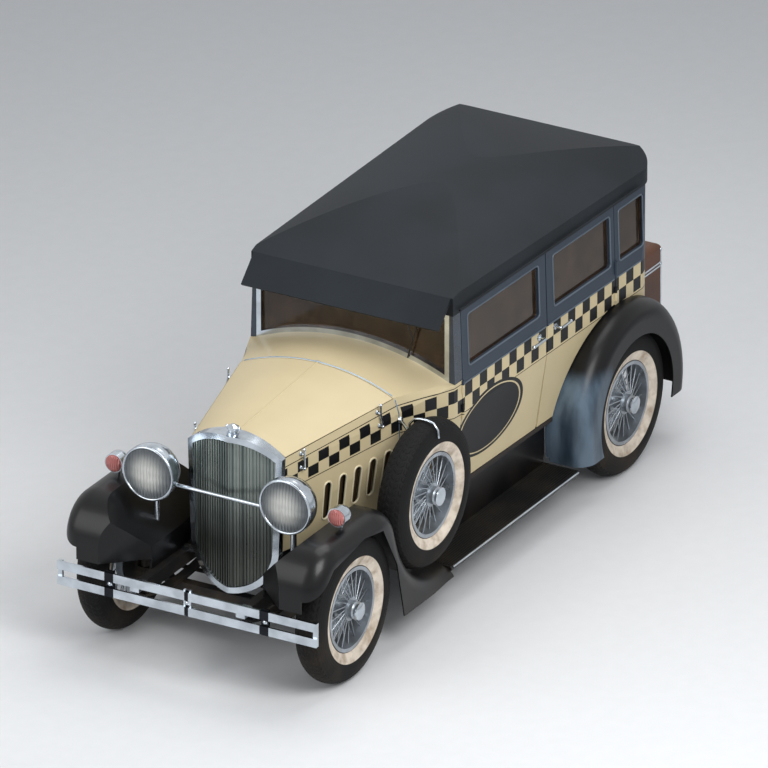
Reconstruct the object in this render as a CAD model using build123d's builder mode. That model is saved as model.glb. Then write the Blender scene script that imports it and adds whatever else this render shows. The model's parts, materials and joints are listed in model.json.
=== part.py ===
"""Taxi cab: a four-door sedan of about 1930 with wire wheels, one side spare and a trunk on a rear rack.

Millimetres.  +X is forward, +Y is the car's left, +Z is up.  The origin is on the ground,
midway between the bumper's front and the trunk rack's back.
"""

import os
from math import atan2, cos, hypot, pi, radians, sin, sqrt, tan

from build123d import *

os.makedirs("parts", exist_ok=True)

# Overall layout
WHEELBASE = 3020
FRONT_OVERHANG = 500
REAR_OVERHANG = 730
TRACK = 1354
LENGTH = FRONT_OVERHANG + WHEELBASE + REAR_OVERHANG
FRONT_X = LENGTH / 2
BACK_X = -LENGTH / 2
FRONT_AXLE_X = FRONT_X - FRONT_OVERHANG
REAR_AXLE_X = FRONT_AXLE_X - WHEELBASE
WHEEL_Y = TRACK / 2

# Clearances
SEAT_GAP = 0.3
PIN_GAP = 0.05
PANEL_GAP = 6
RUNNING_GAP = 6

# Tyres and wire wheels
TYRE_RADIUS = 419
TYRE_WIDTH = 166
TYRE_SHOULDER_RADIUS = 393
TYRE_SHOULDER_WIDTH = 134
BEAD_RADIUS = 238
BEAD_WIDTH = 110
RIM_WIDTH = 120
RIM_DEPTH = 20
HUB_RADIUS = 42
HUB_FLANGE_RADIUS = 66
HUB_FLANGE_THICKNESS = 8
HUB_CAP_RADIUS = 50
HUB_CAP_REACH = 105
DRUM_RADIUS = 150
DRUM_WIDTH = 45
DRUM_BACK = 75
SPOKES_PER_ROW = 20
SPOKE_RADIUS = 3.5
SPOKE_LEAN = 24
AXLE_Z = TYRE_RADIUS

# Axles, knuckles and steering linkage
SPINDLE_RADIUS = 18
SPINDLE_REACH = 30
KINGPIN_Y = 545
KINGPIN_RADIUS = 14
BOSS_RADIUS = 28
BOSS_HEIGHT = 78
EAR_GAP = 3
EAR_THICKNESS = 30
KNUCKLE_WIDTH = 60
PLATE_RADIUS = 155
PLATE_THICKNESS = 7
BEAM_SIZE = 56
BEAM_DROP = 102
BEAM_FLAT_Y = 375
BEAM_ELBOW_Y = 480
STEER_ARM_LENGTH = 190
STEER_ARM_DROP = 96
TIE_PIN_RADIUS = 9
TIE_EYE_RADIUS = 20
TIE_EYE_HALF = 15
TIE_ROD_RADIUS = 12
REAR_TUBE_RADIUS = 42
DIFFERENTIAL_RADIUS = 140
TORQUE_TUBE_RADIUS = 38

# Chassis frame
RAIL_INNER_Y = 300
RAIL_WIDTH = 55
FRAME_BOTTOM_Z = 435
FRAME_TOP_Z = 515
HORN_FRONT_X = FRONT_X - 95
FRAME_BACK_X = BACK_X + 60
KICKUP_RISE = 75
KICKUP_HALF = 260
KICKUP_RAMP = 130
TOW_HOLE_RADIUS = 10
TOW_HOLE_Y = 150
JACK_PAD_X = (250, 350)
JACK_PAD_THICKNESS = 8
RAIL_OUTER_Y = RAIL_INNER_Y + RAIL_WIDTH
RAIL_Y = RAIL_INNER_Y + RAIL_WIDTH / 2

# Cabin: widths are half widths at the front and rear ends of the cabin
CABIN_FRONT_X = 262
CABIN_BACK_X = -1800
BELT_HALF_FRONT = 636
BELT_HALF_BACK = 690
SILL_TUCK = 68
TOP_TUCK = 14
SILL_Z = 540
WAIST_Z = 1000
BELT_Z = 1200
SIDE_TOP_Z = 1606
WALL = 45
REAR_CORNER_RADIUS = 170
B_SEAM_X = -630
REAR_DOOR_BACK_X = -1355
SEAM_GAP = 9
SEAM_GAP_SILL = 18
BACK_PANEL_HALF = 480
FLOOR_THICKNESS = 25

# Windows: from and to are measured along the car
WINDOW_SILL_Z = 1255
WINDOW_TOP_Z = 1560
WINDOW_CORNER = 22
FRONT_WINDOW = (-555, 190)
REAR_WINDOW = (-1310, -705)
QUARTER_WINDOW = (-1672, -1400)
BACK_WINDOW_HALF = 300
BACK_WINDOW_Z = (1290, 1530)
GLASS_DEPTH = 20
GLASS_THICKNESS = 6

# Doors
HINGE_RADIUS = 10
HINGE_BARREL = 26
HINGE_LIFT = 2
HINGE_SLACK = 0.5
FRONT_HINGE_Z = (1015, 1158)
REAR_HINGE_Z = (1080, 1235)

# Roof and visor
ROOF_FRONT_X = 348
ROOF_BACK_X = -1832
ROOF_OVERHANG = 8
ROOF_EDGE_Z = 1690
ROOF_CROWN_Z = 1880
ROOF_FRONT_Z = 1712
ROOF_BACK_Z = 1756
ROOF_CROWN_X = -620
ROOF_SKIN = 32
VISOR_REACH = 140
VISOR_DROP = 125
VISOR_HALF = 612
VISOR_THICKNESS = 12

# Cowl, windscreen and hood
COWL_FRONT_X = 725
COWL_STRAIGHT_X = 348
COWL_WALL = 30
FIREWALL = 30
COWL_SHOULDER_HALF = 600
COWL_SHOULDER_Z = 1207
COWL_TOP_Z = 1335
COWL_FRONT_SILL_HALF = 452
COWL_FRONT_WAIST_HALF = 505
COWL_FRONT_WAIST_Z = 960
COWL_FRONT_BELT_HALF = 500
COWL_FRONT_BELT_Z = 1150
COWL_FRONT_SHOULDER_HALF = 472
COWL_FRONT_SHOULDER_Z = 1240
COWL_FRONT_TOP_Z = 1343
SCREEN_BAR = 28
SCREEN_POST_DEPTH = 80
HOOD_FRONT_X = 1560
HOOD_SKIN = 5
HOOD_FRONT_SHOULDER_HALF = 286
HOOD_FRONT_SHOULDER_Z = 1186
HOOD_FRONT_TOP_Z = 1279
HOOD_FRONT_BELT_HALF = 290
HOOD_FRONT_BELT_Z = 1110
HOOD_FRONT_WAIST_HALF = 288
HOOD_FRONT_WAIST_Z = 790
HOOD_FRONT_BOTTOM_HALF = 268
HOOD_FRONT_BOTTOM_Z = 625
HOOD_BACK_BOTTOM_Z = 575
HOOD_HINGE_RADIUS = 5
HOOD_JOINT_GAP = 5
LOUVRE_COUNT = 5
LOUVRE_FRONT_X = 1250
LOUVRE_PITCH = 112
LOUVRE_WIDTH = 56
LOUVRE_HEIGHT = 225
LOUVRE_FRONT_Z = 822
LOUVRE_RISE = 0.068

# Radiator
SHELL_TOP_Z = 1290
SHELL_SHOULDER_Z = 1182
SHELL_SHOULDER_HALF = 292
SHELL_LOW_HALF = 272
SHELL_LOW_Z = 620
SHELL_BOTTOM_Z = 365
SHELL_NOSE_X = 1684
SHELL_SIDE_X = 1604
SHELL_RIM = 34
GRILLE_SETBACK = 18
GRILLE_CORE = 8
GRILLE_BAR = 6
GRILLE_PITCH = 18

# Lamps
HEADLAMP_X = 1805
HEADLAMP_Y = 424
HEADLAMP_Z = 1021
HEADLAMP_RADIUS = 158
HEADLAMP_DEPTH = 190
LENS_RADIUS = 146
LENS_BULGE = 18
LAMP_BAR_Z = 945
LAMP_BAR_RADIUS = 11
LAMP_POST_RADIUS = 17
MARKER_X = 1662
MARKER_Y = 690
MARKER_Z = 985
MARKER_RADIUS = 55
MARKER_LENGTH = 105
TAIL_LAMP_X = -1975
TAIL_LAMP_GAP = 15
TAIL_LAMP_Z = 652
TAIL_LAMP_RADIUS = 52

# Fenders, running boards and bumper
FENDER_OUTER_Y = 800
FENDER_SKIN = 8
FRONT_FENDER_INNER_Y = RAIL_OUTER_Y
FRONT_FENDER_TIP_X = 2102
FRONT_FENDER_TOP_Z = 905
FRONT_FENDER_LIP_Z = 575
FRONT_FENDER_FALL_X = 1270
FRONT_FENDER_FALL_FOOT_X = 1049
FRONT_FENDER_BACK_X = 606
FRONT_FENDER_NOSE_RADIUS = 230
FRONT_FENDER_CREST_RADIUS = 220
FRONT_FENDER_SWEEP_RADIUS = 600
FENDER_CROWN_RADIUS = 105
FRONT_SKIRT = ((2110, 640), (1930, 790), (1590, 836), (1400, 806), (1250, 545), (1170, 205))
SKIRT_BOTTOM_Z = 205
REAR_FENDER_RADIUS = 592
REAR_FENDER_INNER_Y = 552
REAR_ARCH_RADIUS = 405
REAR_FENDER_TAIL_Z = 311
BOARD_TOP_Z = 255
BOARD_THICKNESS = 28
BOARD_OUTER_Y = 768
BOARD_BACK_X = -806
APRON_Y = 535
APRON_THICKNESS = 10
BUMPER_HALF = 802
BUMPER_BAR_Z = (437, 526)
BUMPER_BAR_HEIGHT = 50
BUMPER_BAR_THICKNESS = 12
BUMPER_CLAMP_Y = (0, 480)
BUMPER_CLAMP_WIDTH = 46
BUMPER_CLAMP_Z = (404, 559)

# Side spare on the left
SPARE_X = 776
SPARE_STAND = 56
SPARE_Y = BELT_HALF_FRONT + SPARE_STAND
SPARE_Z = 752

# Trunk on its rack
TRUNK_HALF = 545
TRUNK_FRONT_X = -1816
TRUNK_BACK_X = BACK_X + 12
TRUNK_BOTTOM_Z = 620
TRUNK_SEAM_Z = 935
TRUNK_TOP_Z = 1062
TRUNK_WALL = 12
TRUNK_EDGE_RADIUS = 40
TAIL_LAMP_Y = TRUNK_HALF + TAIL_LAMP_GAP + TAIL_LAMP_RADIUS
RACK_BAR = 22

# Engine and exhaust
ENGINE_X = (780, 1470)
ENGINE_HALF = 215
ENGINE_Z = (400, 1090)
GEARBOX_BACK_X = 250
GEARBOX_HALF = 130
EXHAUST_RADIUS = 24
MUFFLER_RADIUS = 62
MUFFLER_X = (-620, -120)
EXHAUST_Z = 340

# Seats and driver's controls
SEAT_HALF = 505
FRONT_SEAT_X = (-560, -20)
REAR_SEAT_X = (-1675, -1040)
REAR_SEAT_HALF = 530
SEAT_CUSHION_Z = 905
SEAT_BACK_Z = 1330
SEAT_BACK_DEPTH = 150
SEAT_RAKE = 70
STEERING_WHEEL = (-10, 320, 1125)
STEERING_WHEEL_RADIUS = 215
STEERING_RIM_RADIUS = 13
STEERING_RAKE = 38
COLUMN_RADIUS = 20


def save(name, part):
    """Label a finished piece and write it as one STEP file."""
    part.label = name
    export_step(part, f"parts/{name}.step")


def other_side(part):
    """Return the same piece on the car's right-hand side."""
    return mirror(part, about=Plane.XZ)


def block(x_range, y_range, z_range):
    """Return a box that spans the given ranges."""
    with BuildPart() as form:
        with Locations([(sum(x_range) / 2, sum(y_range) / 2, sum(z_range) / 2)]):
            Box(
                abs(x_range[1] - x_range[0]),
                abs(y_range[1] - y_range[0]),
                abs(z_range[1] - z_range[0]),
            )
    return form.part


def rod(start, end, radius):
    """Return a round bar between two points."""
    axis = Vector(*end) - Vector(*start)
    with BuildPart() as form:
        with BuildSketch(Plane(origin=start, z_dir=axis)):
            Circle(radius)
        extrude(amount=axis.length)
    return form.part


def side_prism(outline, y_range, radii=None):
    """Return a closed x, z outline extruded across the car, its corners rounded where radii are given."""
    low, high = min(y_range), max(y_range)
    with BuildPart() as form:
        with BuildSketch(Plane.XZ.offset(-high)):
            with BuildLine():
                if radii is None:
                    Polyline(*outline, close=True)
                else:
                    FilletPolyline(*outline, radius=radii, close=True)
            make_face()
        extrude(amount=high - low)
    return form.part


def end_prism(outline, x_range):
    """Return a closed y, z outline extruded along the car."""
    low, high = min(x_range), max(x_range)
    with BuildPart() as form:
        with BuildSketch(Plane.YZ.offset(low)):
            with BuildLine():
                Polyline(*outline, close=True)
            make_face()
        extrude(amount=high - low)
    return form.part


def cross_cylinder(x, z, radius, y_range):
    """Return a cylinder that lies across the car."""
    return rod((x, min(y_range), z), (x, max(y_range), z), radius)


def rounded_window(x_range, z_range, y_range, corner):
    """Return a prism that cuts a window with rounded corners through a side of the car."""
    with BuildPart() as form:
        with BuildSketch(Plane.XZ.offset(-max(y_range))):
            with Locations([(sum(x_range) / 2, sum(z_range) / 2)]):
                RectangleRounded(abs(x_range[1] - x_range[0]), abs(z_range[1] - z_range[0]), corner)
        extrude(amount=max(y_range) - min(y_range))
    return form.part


# Tyres and wheels are drawn about the Y axis, outer side towards +Y
def tyre_form():
    """Return a tyre with round sidewalls and a crowned tread."""
    middle_radius = (BEAD_RADIUS + TYRE_SHOULDER_RADIUS) / 2
    bead = (BEAD_RADIUS, BEAD_WIDTH / 2)
    shoulder = (TYRE_SHOULDER_RADIUS, TYRE_SHOULDER_WIDTH / 2)
    with BuildPart() as tyre:
        with BuildSketch(Plane.XY):
            with BuildLine():
                ThreePointArc(bead, (middle_radius, TYRE_WIDTH / 2), shoulder)
                ThreePointArc(shoulder, (TYRE_RADIUS, 0), (shoulder[0], -shoulder[1]))
                other_wall = (middle_radius, -TYRE_WIDTH / 2)
                ThreePointArc((shoulder[0], -shoulder[1]), other_wall, (bead[0], -bead[1]))
                Line((bead[0], -bead[1]), bead)
            make_face()
        revolve(axis=Axis.Y)
    return tyre.part


def wheel_form():
    """Return a wire wheel: rim, two rows of spokes, hub with its cap, and brake drum."""
    rim_outer = BEAD_RADIUS - SEAT_GAP
    rim_inner = rim_outer - RIM_DEPTH
    drum_front = DRUM_WIDTH - DRUM_BACK
    inner_flange = drum_front + HUB_FLANGE_THICKNESS
    outer_flange = RIM_WIDTH / 2 - 2 * HUB_FLANGE_THICKNESS
    cap_shoulder = HUB_CAP_REACH - HUB_CAP_RADIUS / 2
    # Row columns: middle of the hub flange, place on the rim, lean of the spokes
    spoke_rows = (
        (inner_flange + HUB_FLANGE_THICKNESS / 2, -RIM_WIDTH / 6, SPOKE_LEAN),
        (outer_flange + HUB_FLANGE_THICKNESS / 2, RIM_WIDTH / 6, -SPOKE_LEAN),
    )
    with BuildPart() as wheel:
        with BuildSketch(Plane.XY):
            with Locations([((rim_outer + rim_inner) / 2, 0)]):
                Rectangle(RIM_DEPTH, RIM_WIDTH)
        revolve(axis=Axis.Y)
        with BuildSketch(Plane.XY):
            with BuildLine():
                Polyline(
                    (0, HUB_CAP_REACH),
                    (0, -DRUM_BACK),
                    (DRUM_RADIUS, -DRUM_BACK),
                    (DRUM_RADIUS, drum_front),
                    (HUB_RADIUS, drum_front),
                    (HUB_RADIUS, inner_flange),
                    (HUB_FLANGE_RADIUS, inner_flange),
                    (HUB_FLANGE_RADIUS, inner_flange + HUB_FLANGE_THICKNESS),
                    (HUB_RADIUS, inner_flange + HUB_FLANGE_THICKNESS),
                    (HUB_RADIUS, outer_flange),
                    (HUB_FLANGE_RADIUS, outer_flange),
                    (HUB_FLANGE_RADIUS, outer_flange + HUB_FLANGE_THICKNESS),
                    (HUB_CAP_RADIUS, outer_flange + HUB_FLANGE_THICKNESS),
                    (HUB_CAP_RADIUS, cap_shoulder),
                )
                RadiusArc((HUB_CAP_RADIUS, cap_shoulder), (0, HUB_CAP_REACH), -1.25 * HUB_CAP_RADIUS)
            make_face()
        revolve(axis=Axis.Y)
        for hub_place, rim_place, lean in spoke_rows:
            hub_end = HUB_FLANGE_RADIUS - HUB_FLANGE_THICKNESS
            rim_end = rim_inner + RIM_DEPTH / 2
            planes = []
            for index in range(SPOKES_PER_ROW):
                turn = 2 * pi * index / SPOKES_PER_ROW
                leant = turn + radians(lean)
                start = Vector(hub_end * cos(turn), hub_place, hub_end * sin(turn))
                end = Vector(rim_end * cos(leant), rim_place, rim_end * sin(leant))
                planes.append(Plane(origin=start, z_dir=end - start))
                length = (end - start).length
            with BuildSketch(*planes):
                Circle(SPOKE_RADIUS)
            extrude(amount=length)
        add(
            rod((0, -DRUM_BACK, 0), (0, SPINDLE_REACH + RUNNING_GAP, 0), SPINDLE_RADIUS + PIN_GAP),
            mode=Mode.SUBTRACT,
        )
    return wheel.part


TYRE = tyre_form()
WHEEL = wheel_form()
# Wheel columns: name, place along the car, side of the car
WHEELS = (
    ("fl", FRONT_AXLE_X, 1),
    ("fr", FRONT_AXLE_X, -1),
    ("rl", REAR_AXLE_X, 1),
    ("rr", REAR_AXLE_X, -1),
)
for place, wheel_x, side in WHEELS:
    turned_wheel = WHEEL if side > 0 else other_side(WHEEL)
    spot = Location((wheel_x, side * WHEEL_Y, AXLE_Z))
    save(f"tyre_{place}", TYRE.moved(spot))
    save(f"wheel_{place}", turned_wheel.moved(spot))
spare_spot = Location((SPARE_X, SPARE_Y, SPARE_Z))
save("spare_tyre", TYRE.moved(spare_spot))
save("spare_wheel", WHEEL.moved(spare_spot))

# Plates and spindles that carry the wheels, measured out from the car's middle
PLATE_OUTER_Y = WHEEL_Y - DRUM_BACK - RUNNING_GAP
PLATE_INNER_Y = PLATE_OUTER_Y - PLATE_THICKNESS
SPINDLE_END_Y = WHEEL_Y + SPINDLE_REACH
BOSS_BOTTOM_Z = AXLE_Z - BOSS_HEIGHT / 2
BOSS_TOP_Z = AXLE_Z + BOSS_HEIGHT / 2
BEAM_TOP_Z = AXLE_Z - BEAM_DROP + BEAM_SIZE / 2
BEAM_BOTTOM_Z = BEAM_TOP_Z - BEAM_SIZE

# Front axle beam with a boss for each kingpin
with BuildPart() as front_axle:
    beam_end = KINGPIN_Y - BOSS_RADIUS / 2
    add(
        end_prism(
            (
                (-beam_end, AXLE_Z - BEAM_SIZE / 2),
                (-BEAM_ELBOW_Y, AXLE_Z - BEAM_SIZE / 2),
                (-BEAM_FLAT_Y, BEAM_BOTTOM_Z),
                (BEAM_FLAT_Y, BEAM_BOTTOM_Z),
                (BEAM_ELBOW_Y, AXLE_Z - BEAM_SIZE / 2),
                (beam_end, AXLE_Z - BEAM_SIZE / 2),
                (beam_end, AXLE_Z + BEAM_SIZE / 2),
                (BEAM_ELBOW_Y, AXLE_Z + BEAM_SIZE / 2),
                (BEAM_FLAT_Y, BEAM_TOP_Z),
                (-BEAM_FLAT_Y, BEAM_TOP_Z),
                (-BEAM_ELBOW_Y, AXLE_Z + BEAM_SIZE / 2),
                (-beam_end, AXLE_Z + BEAM_SIZE / 2),
            ),
            (FRONT_AXLE_X - BEAM_SIZE / 2, FRONT_AXLE_X + BEAM_SIZE / 2),
        )
    )
    for side in (1, -1):
        foot = (FRONT_AXLE_X, side * KINGPIN_Y, BOSS_BOTTOM_Z)
        head = (FRONT_AXLE_X, side * KINGPIN_Y, BOSS_TOP_Z)
        add(rod(foot, head, BOSS_RADIUS))
        add(rod(foot, head, KINGPIN_RADIUS + PIN_GAP), mode=Mode.SUBTRACT)
save("front_axle", front_axle.part)

# Steering knuckle: fork round the boss, kingpin, plate, spindle, and the arm with its pin for the tie rod
EAR_LOW_Z = BOSS_BOTTOM_Z - EAR_GAP - EAR_THICKNESS
EAR_HIGH_Z = BOSS_TOP_Z + EAR_GAP + EAR_THICKNESS
TIE_PIN_X = FRONT_AXLE_X - STEER_ARM_LENGTH
TIE_PIN_Y = KINGPIN_Y
ARM_Z = EAR_LOW_Z + EAR_THICKNESS / 2
TIE_ROD_Z = AXLE_Z - STEER_ARM_DROP
with BuildPart() as knuckle:
    ear_x = (FRONT_AXLE_X - KNUCKLE_WIDTH / 2, FRONT_AXLE_X + KNUCKLE_WIDTH / 2)
    ear_y = (KINGPIN_Y - BOSS_RADIUS, PLATE_OUTER_Y)
    add(block(ear_x, ear_y, (EAR_LOW_Z, EAR_LOW_Z + EAR_THICKNESS)))
    add(block(ear_x, ear_y, (EAR_HIGH_Z - EAR_THICKNESS, EAR_HIGH_Z)))
    add(block(ear_x, (KINGPIN_Y + BOSS_RADIUS + RUNNING_GAP, PLATE_OUTER_Y), (EAR_LOW_Z, EAR_HIGH_Z)))
    add(rod((FRONT_AXLE_X, KINGPIN_Y, EAR_LOW_Z), (FRONT_AXLE_X, KINGPIN_Y, EAR_HIGH_Z), KINGPIN_RADIUS))
    add(cross_cylinder(FRONT_AXLE_X, AXLE_Z, PLATE_RADIUS, (PLATE_INNER_Y, PLATE_OUTER_Y)))
    add(cross_cylinder(FRONT_AXLE_X, AXLE_Z, SPINDLE_RADIUS, (PLATE_INNER_Y, SPINDLE_END_Y)))
    add(rod((FRONT_AXLE_X, KINGPIN_Y, ARM_Z), (TIE_PIN_X, TIE_PIN_Y, ARM_Z), TIE_ROD_RADIUS))
    add(rod((TIE_PIN_X, TIE_PIN_Y, ARM_Z - TIE_ROD_RADIUS), (TIE_PIN_X, TIE_PIN_Y, ARM_Z + TIE_ROD_RADIUS),
            TIE_EYE_RADIUS))
    pin_foot = (TIE_PIN_X, TIE_PIN_Y, TIE_ROD_Z - TIE_EYE_RADIUS)
    add(rod(pin_foot, (TIE_PIN_X, TIE_PIN_Y, ARM_Z), TIE_PIN_RADIUS))
save("knuckle_l", knuckle.part)
save("knuckle_r", other_side(knuckle.part))

# Tie rod with an eye at each end
with BuildPart() as tie_rod:
    add(rod((TIE_PIN_X, -TIE_PIN_Y, TIE_ROD_Z), (TIE_PIN_X, TIE_PIN_Y, TIE_ROD_Z), TIE_ROD_RADIUS))
    for side in (1, -1):
        foot = (TIE_PIN_X, side * TIE_PIN_Y, TIE_ROD_Z - TIE_EYE_HALF)
        head = (TIE_PIN_X, side * TIE_PIN_Y, TIE_ROD_Z + TIE_EYE_HALF)
        add(rod(foot, head, TIE_EYE_RADIUS))
        add(rod(foot, head, TIE_PIN_RADIUS + PIN_GAP), mode=Mode.SUBTRACT)
save("tie_rod", tie_rod.part)

# Rear axle: tube, differential, torque tube, plates and spindles
with BuildPart() as rear_axle:
    add(cross_cylinder(REAR_AXLE_X, AXLE_Z, REAR_TUBE_RADIUS, (-PLATE_OUTER_Y, PLATE_OUTER_Y)))
    add(cross_cylinder(REAR_AXLE_X, AXLE_Z, SPINDLE_RADIUS, (-SPINDLE_END_Y, SPINDLE_END_Y)))
    for side in (1, -1):
        add(cross_cylinder(REAR_AXLE_X, AXLE_Z, PLATE_RADIUS, (side * PLATE_INNER_Y, side * PLATE_OUTER_Y)))
    with Locations([(REAR_AXLE_X, 0, AXLE_Z)]):
        Sphere(DIFFERENTIAL_RADIUS)
    add(rod((REAR_AXLE_X, 0, AXLE_Z), (GEARBOX_BACK_X, 0, AXLE_Z), TORQUE_TUBE_RADIUS))
save("rear_axle", rear_axle.part)

# Chassis frame: two rails kicked up over the rear axle, with jack pads under them
CROSS_DEPTH = 50
CROSS_WIDTH = 60
CROSS_X = (1505, 690, -60, -760)
OUTRIGGER_X = (500, -60, -760)
REAR_CROSS_X = FRAME_BACK_X + CROSS_WIDTH
KICKUP_FOOT = KICKUP_HALF + KICKUP_RAMP
RAIL_OUTLINE = (
    (HORN_FRONT_X, FRAME_BOTTOM_Z),
    (REAR_AXLE_X + KICKUP_FOOT, FRAME_BOTTOM_Z),
    (REAR_AXLE_X + KICKUP_HALF, FRAME_BOTTOM_Z + KICKUP_RISE),
    (REAR_AXLE_X - KICKUP_HALF, FRAME_BOTTOM_Z + KICKUP_RISE),
    (REAR_AXLE_X - KICKUP_FOOT, FRAME_BOTTOM_Z),
    (FRAME_BACK_X, FRAME_BOTTOM_Z),
    (FRAME_BACK_X, FRAME_TOP_Z),
    (REAR_AXLE_X - KICKUP_FOOT, FRAME_TOP_Z),
    (REAR_AXLE_X - KICKUP_HALF, FRAME_TOP_Z + KICKUP_RISE),
    (REAR_AXLE_X + KICKUP_HALF, FRAME_TOP_Z + KICKUP_RISE),
    (REAR_AXLE_X + KICKUP_FOOT, FRAME_TOP_Z),
    (HORN_FRONT_X, FRAME_TOP_Z),
)
with BuildPart() as chassis_frame:
    for side in (1, -1):
        rail_y = (side * RAIL_INNER_Y, side * RAIL_OUTER_Y)
        add(side_prism(RAIL_OUTLINE, rail_y))
        add(block(JACK_PAD_X, rail_y, (FRAME_BOTTOM_Z - JACK_PAD_THICKNESS, FRAME_BOTTOM_Z)))
save("chassis_frame", chassis_frame.part)

# Frame members: cross members between the rails, the last one with tow holes, and outriggers under the body
MEMBER_Z = (FRAME_TOP_Z - CROSS_DEPTH, FRAME_TOP_Z)
with BuildPart() as frame_members:
    for member_x in CROSS_X + (REAR_CROSS_X,):
        member_span = (member_x - CROSS_WIDTH / 2, member_x + CROSS_WIDTH / 2)
        add(block(member_span, (-RAIL_INNER_Y, RAIL_INNER_Y), MEMBER_Z))
    for member_x in OUTRIGGER_X:
        member_span = (member_x - CROSS_WIDTH / 2, member_x + CROSS_WIDTH / 2)
        for side in (1, -1):
            add(block(member_span, (side * RAIL_OUTER_Y, side * APRON_Y), MEMBER_Z))
    for hole_y in (TOW_HOLE_Y, -TOW_HOLE_Y):
        foot = (REAR_CROSS_X, hole_y, MEMBER_Z[0])
        head = (REAR_CROSS_X, hole_y, MEMBER_Z[1])
        add(rod(foot, head, TOW_HOLE_RADIUS), mode=Mode.SUBTRACT)
save("frame_members", frame_members.part)

# Leaf springs: on the beam in front, under the tube behind, their ends against the rails
SPRING_HALF = 430
SPRING_STACK = 26
SPRING_TIP = 10
SPRING_WIDTH = 48
# Spring columns: axle place, underside of the spring's middle
SPRINGS = (
    (FRONT_AXLE_X, BEAM_TOP_Z),
    (REAR_AXLE_X, AXLE_Z - REAR_TUBE_RADIUS - SEAT_GAP - SPRING_STACK),
)
with BuildPart() as leaf_springs:
    for spring_x, under_z in SPRINGS:
        with BuildSketch(Plane.XZ.offset(-RAIL_Y - SPRING_WIDTH / 2)):
            with BuildLine():
                ThreePointArc(
                    (spring_x - SPRING_HALF, FRAME_BOTTOM_Z),
                    (spring_x, under_z + SPRING_STACK),
                    (spring_x + SPRING_HALF, FRAME_BOTTOM_Z),
                )
                front_x = spring_x + SPRING_HALF
                Line((front_x, FRAME_BOTTOM_Z), (front_x, FRAME_BOTTOM_Z - SPRING_TIP))
                ThreePointArc(
                    (spring_x + SPRING_HALF, FRAME_BOTTOM_Z - SPRING_TIP),
                    (spring_x, under_z),
                    (spring_x - SPRING_HALF, FRAME_BOTTOM_Z - SPRING_TIP),
                )
                back_x = spring_x - SPRING_HALF
                Line((back_x, FRAME_BOTTOM_Z - SPRING_TIP), (back_x, FRAME_BOTTOM_Z))
            make_face()
        extrude(amount=SPRING_WIDTH)
    mirror(about=Plane.XZ)
save("leaf_springs", leaf_springs.part)

# Engine with its gearbox, as one plain block held by lugs on the rails
LUG_X = (1070, 1150)
LUG_Z = (445, 500)
GEARBOX_BOTTOM_Z = 345
with BuildPart() as engine:
    add(block(ENGINE_X, (-ENGINE_HALF, ENGINE_HALF), ENGINE_Z))
    add(
        block(
            (GEARBOX_BACK_X, ENGINE_X[0]),
            (-GEARBOX_HALF, GEARBOX_HALF),
            (GEARBOX_BOTTOM_Z, FRAME_TOP_Z - CROSS_DEPTH - RUNNING_GAP),
        )
    )
    add(block(LUG_X, (-RAIL_INNER_Y, RAIL_INNER_Y), LUG_Z))
save("engine", engine.part)

# Exhaust: down pipe from the engine's right side, silencer and tail pipe, hung from the cross members
EXHAUST_FRONT_X = 900
EXHAUST_BACK_X = -1960
HANGER_RADIUS = 8
EXHAUST_PATH_Y = -ENGINE_HALF - EXHAUST_RADIUS
with BuildPart() as exhaust:
    pipe_front = (EXHAUST_FRONT_X, EXHAUST_PATH_Y, EXHAUST_Z)
    add(rod(pipe_front, (EXHAUST_BACK_X, EXHAUST_PATH_Y, EXHAUST_Z), EXHAUST_RADIUS))
    add(rod((EXHAUST_FRONT_X, EXHAUST_PATH_Y, EXHAUST_Z - EXHAUST_RADIUS),
            (EXHAUST_FRONT_X, EXHAUST_PATH_Y, (ENGINE_Z[0] + ENGINE_Z[1]) / 2), EXHAUST_RADIUS))
    muffler_end = (MUFFLER_X[0], EXHAUST_PATH_Y, EXHAUST_Z)
    add(rod(muffler_end, (MUFFLER_X[1], EXHAUST_PATH_Y, EXHAUST_Z), MUFFLER_RADIUS))
    for hanger_x in (CROSS_X[2], CROSS_X[3]):
        add(rod((hanger_x, EXHAUST_PATH_Y, EXHAUST_Z), (hanger_x, EXHAUST_PATH_Y, FRAME_TOP_Z - CROSS_DEPTH),
                HANGER_RADIUS))
save("exhaust", exhaust.part)


# Cabin: one outer form, hollowed and then split where the real panels meet
CORNER_EASE = 0.5
SIDE_REACH = 900


def belt_half(x):
    """Return the cabin's half width at the belt for a place along the car."""
    share = (CABIN_FRONT_X - x) / (CABIN_FRONT_X - CABIN_BACK_X)
    return BELT_HALF_FRONT + share * (BELT_HALF_BACK - BELT_HALF_FRONT)


def both_sides(points):
    """Return a closed outline of y, z points: those given for the left, then the same on the right."""
    return tuple(points) + tuple((-y, z) for y, z in reversed(points))


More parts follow.
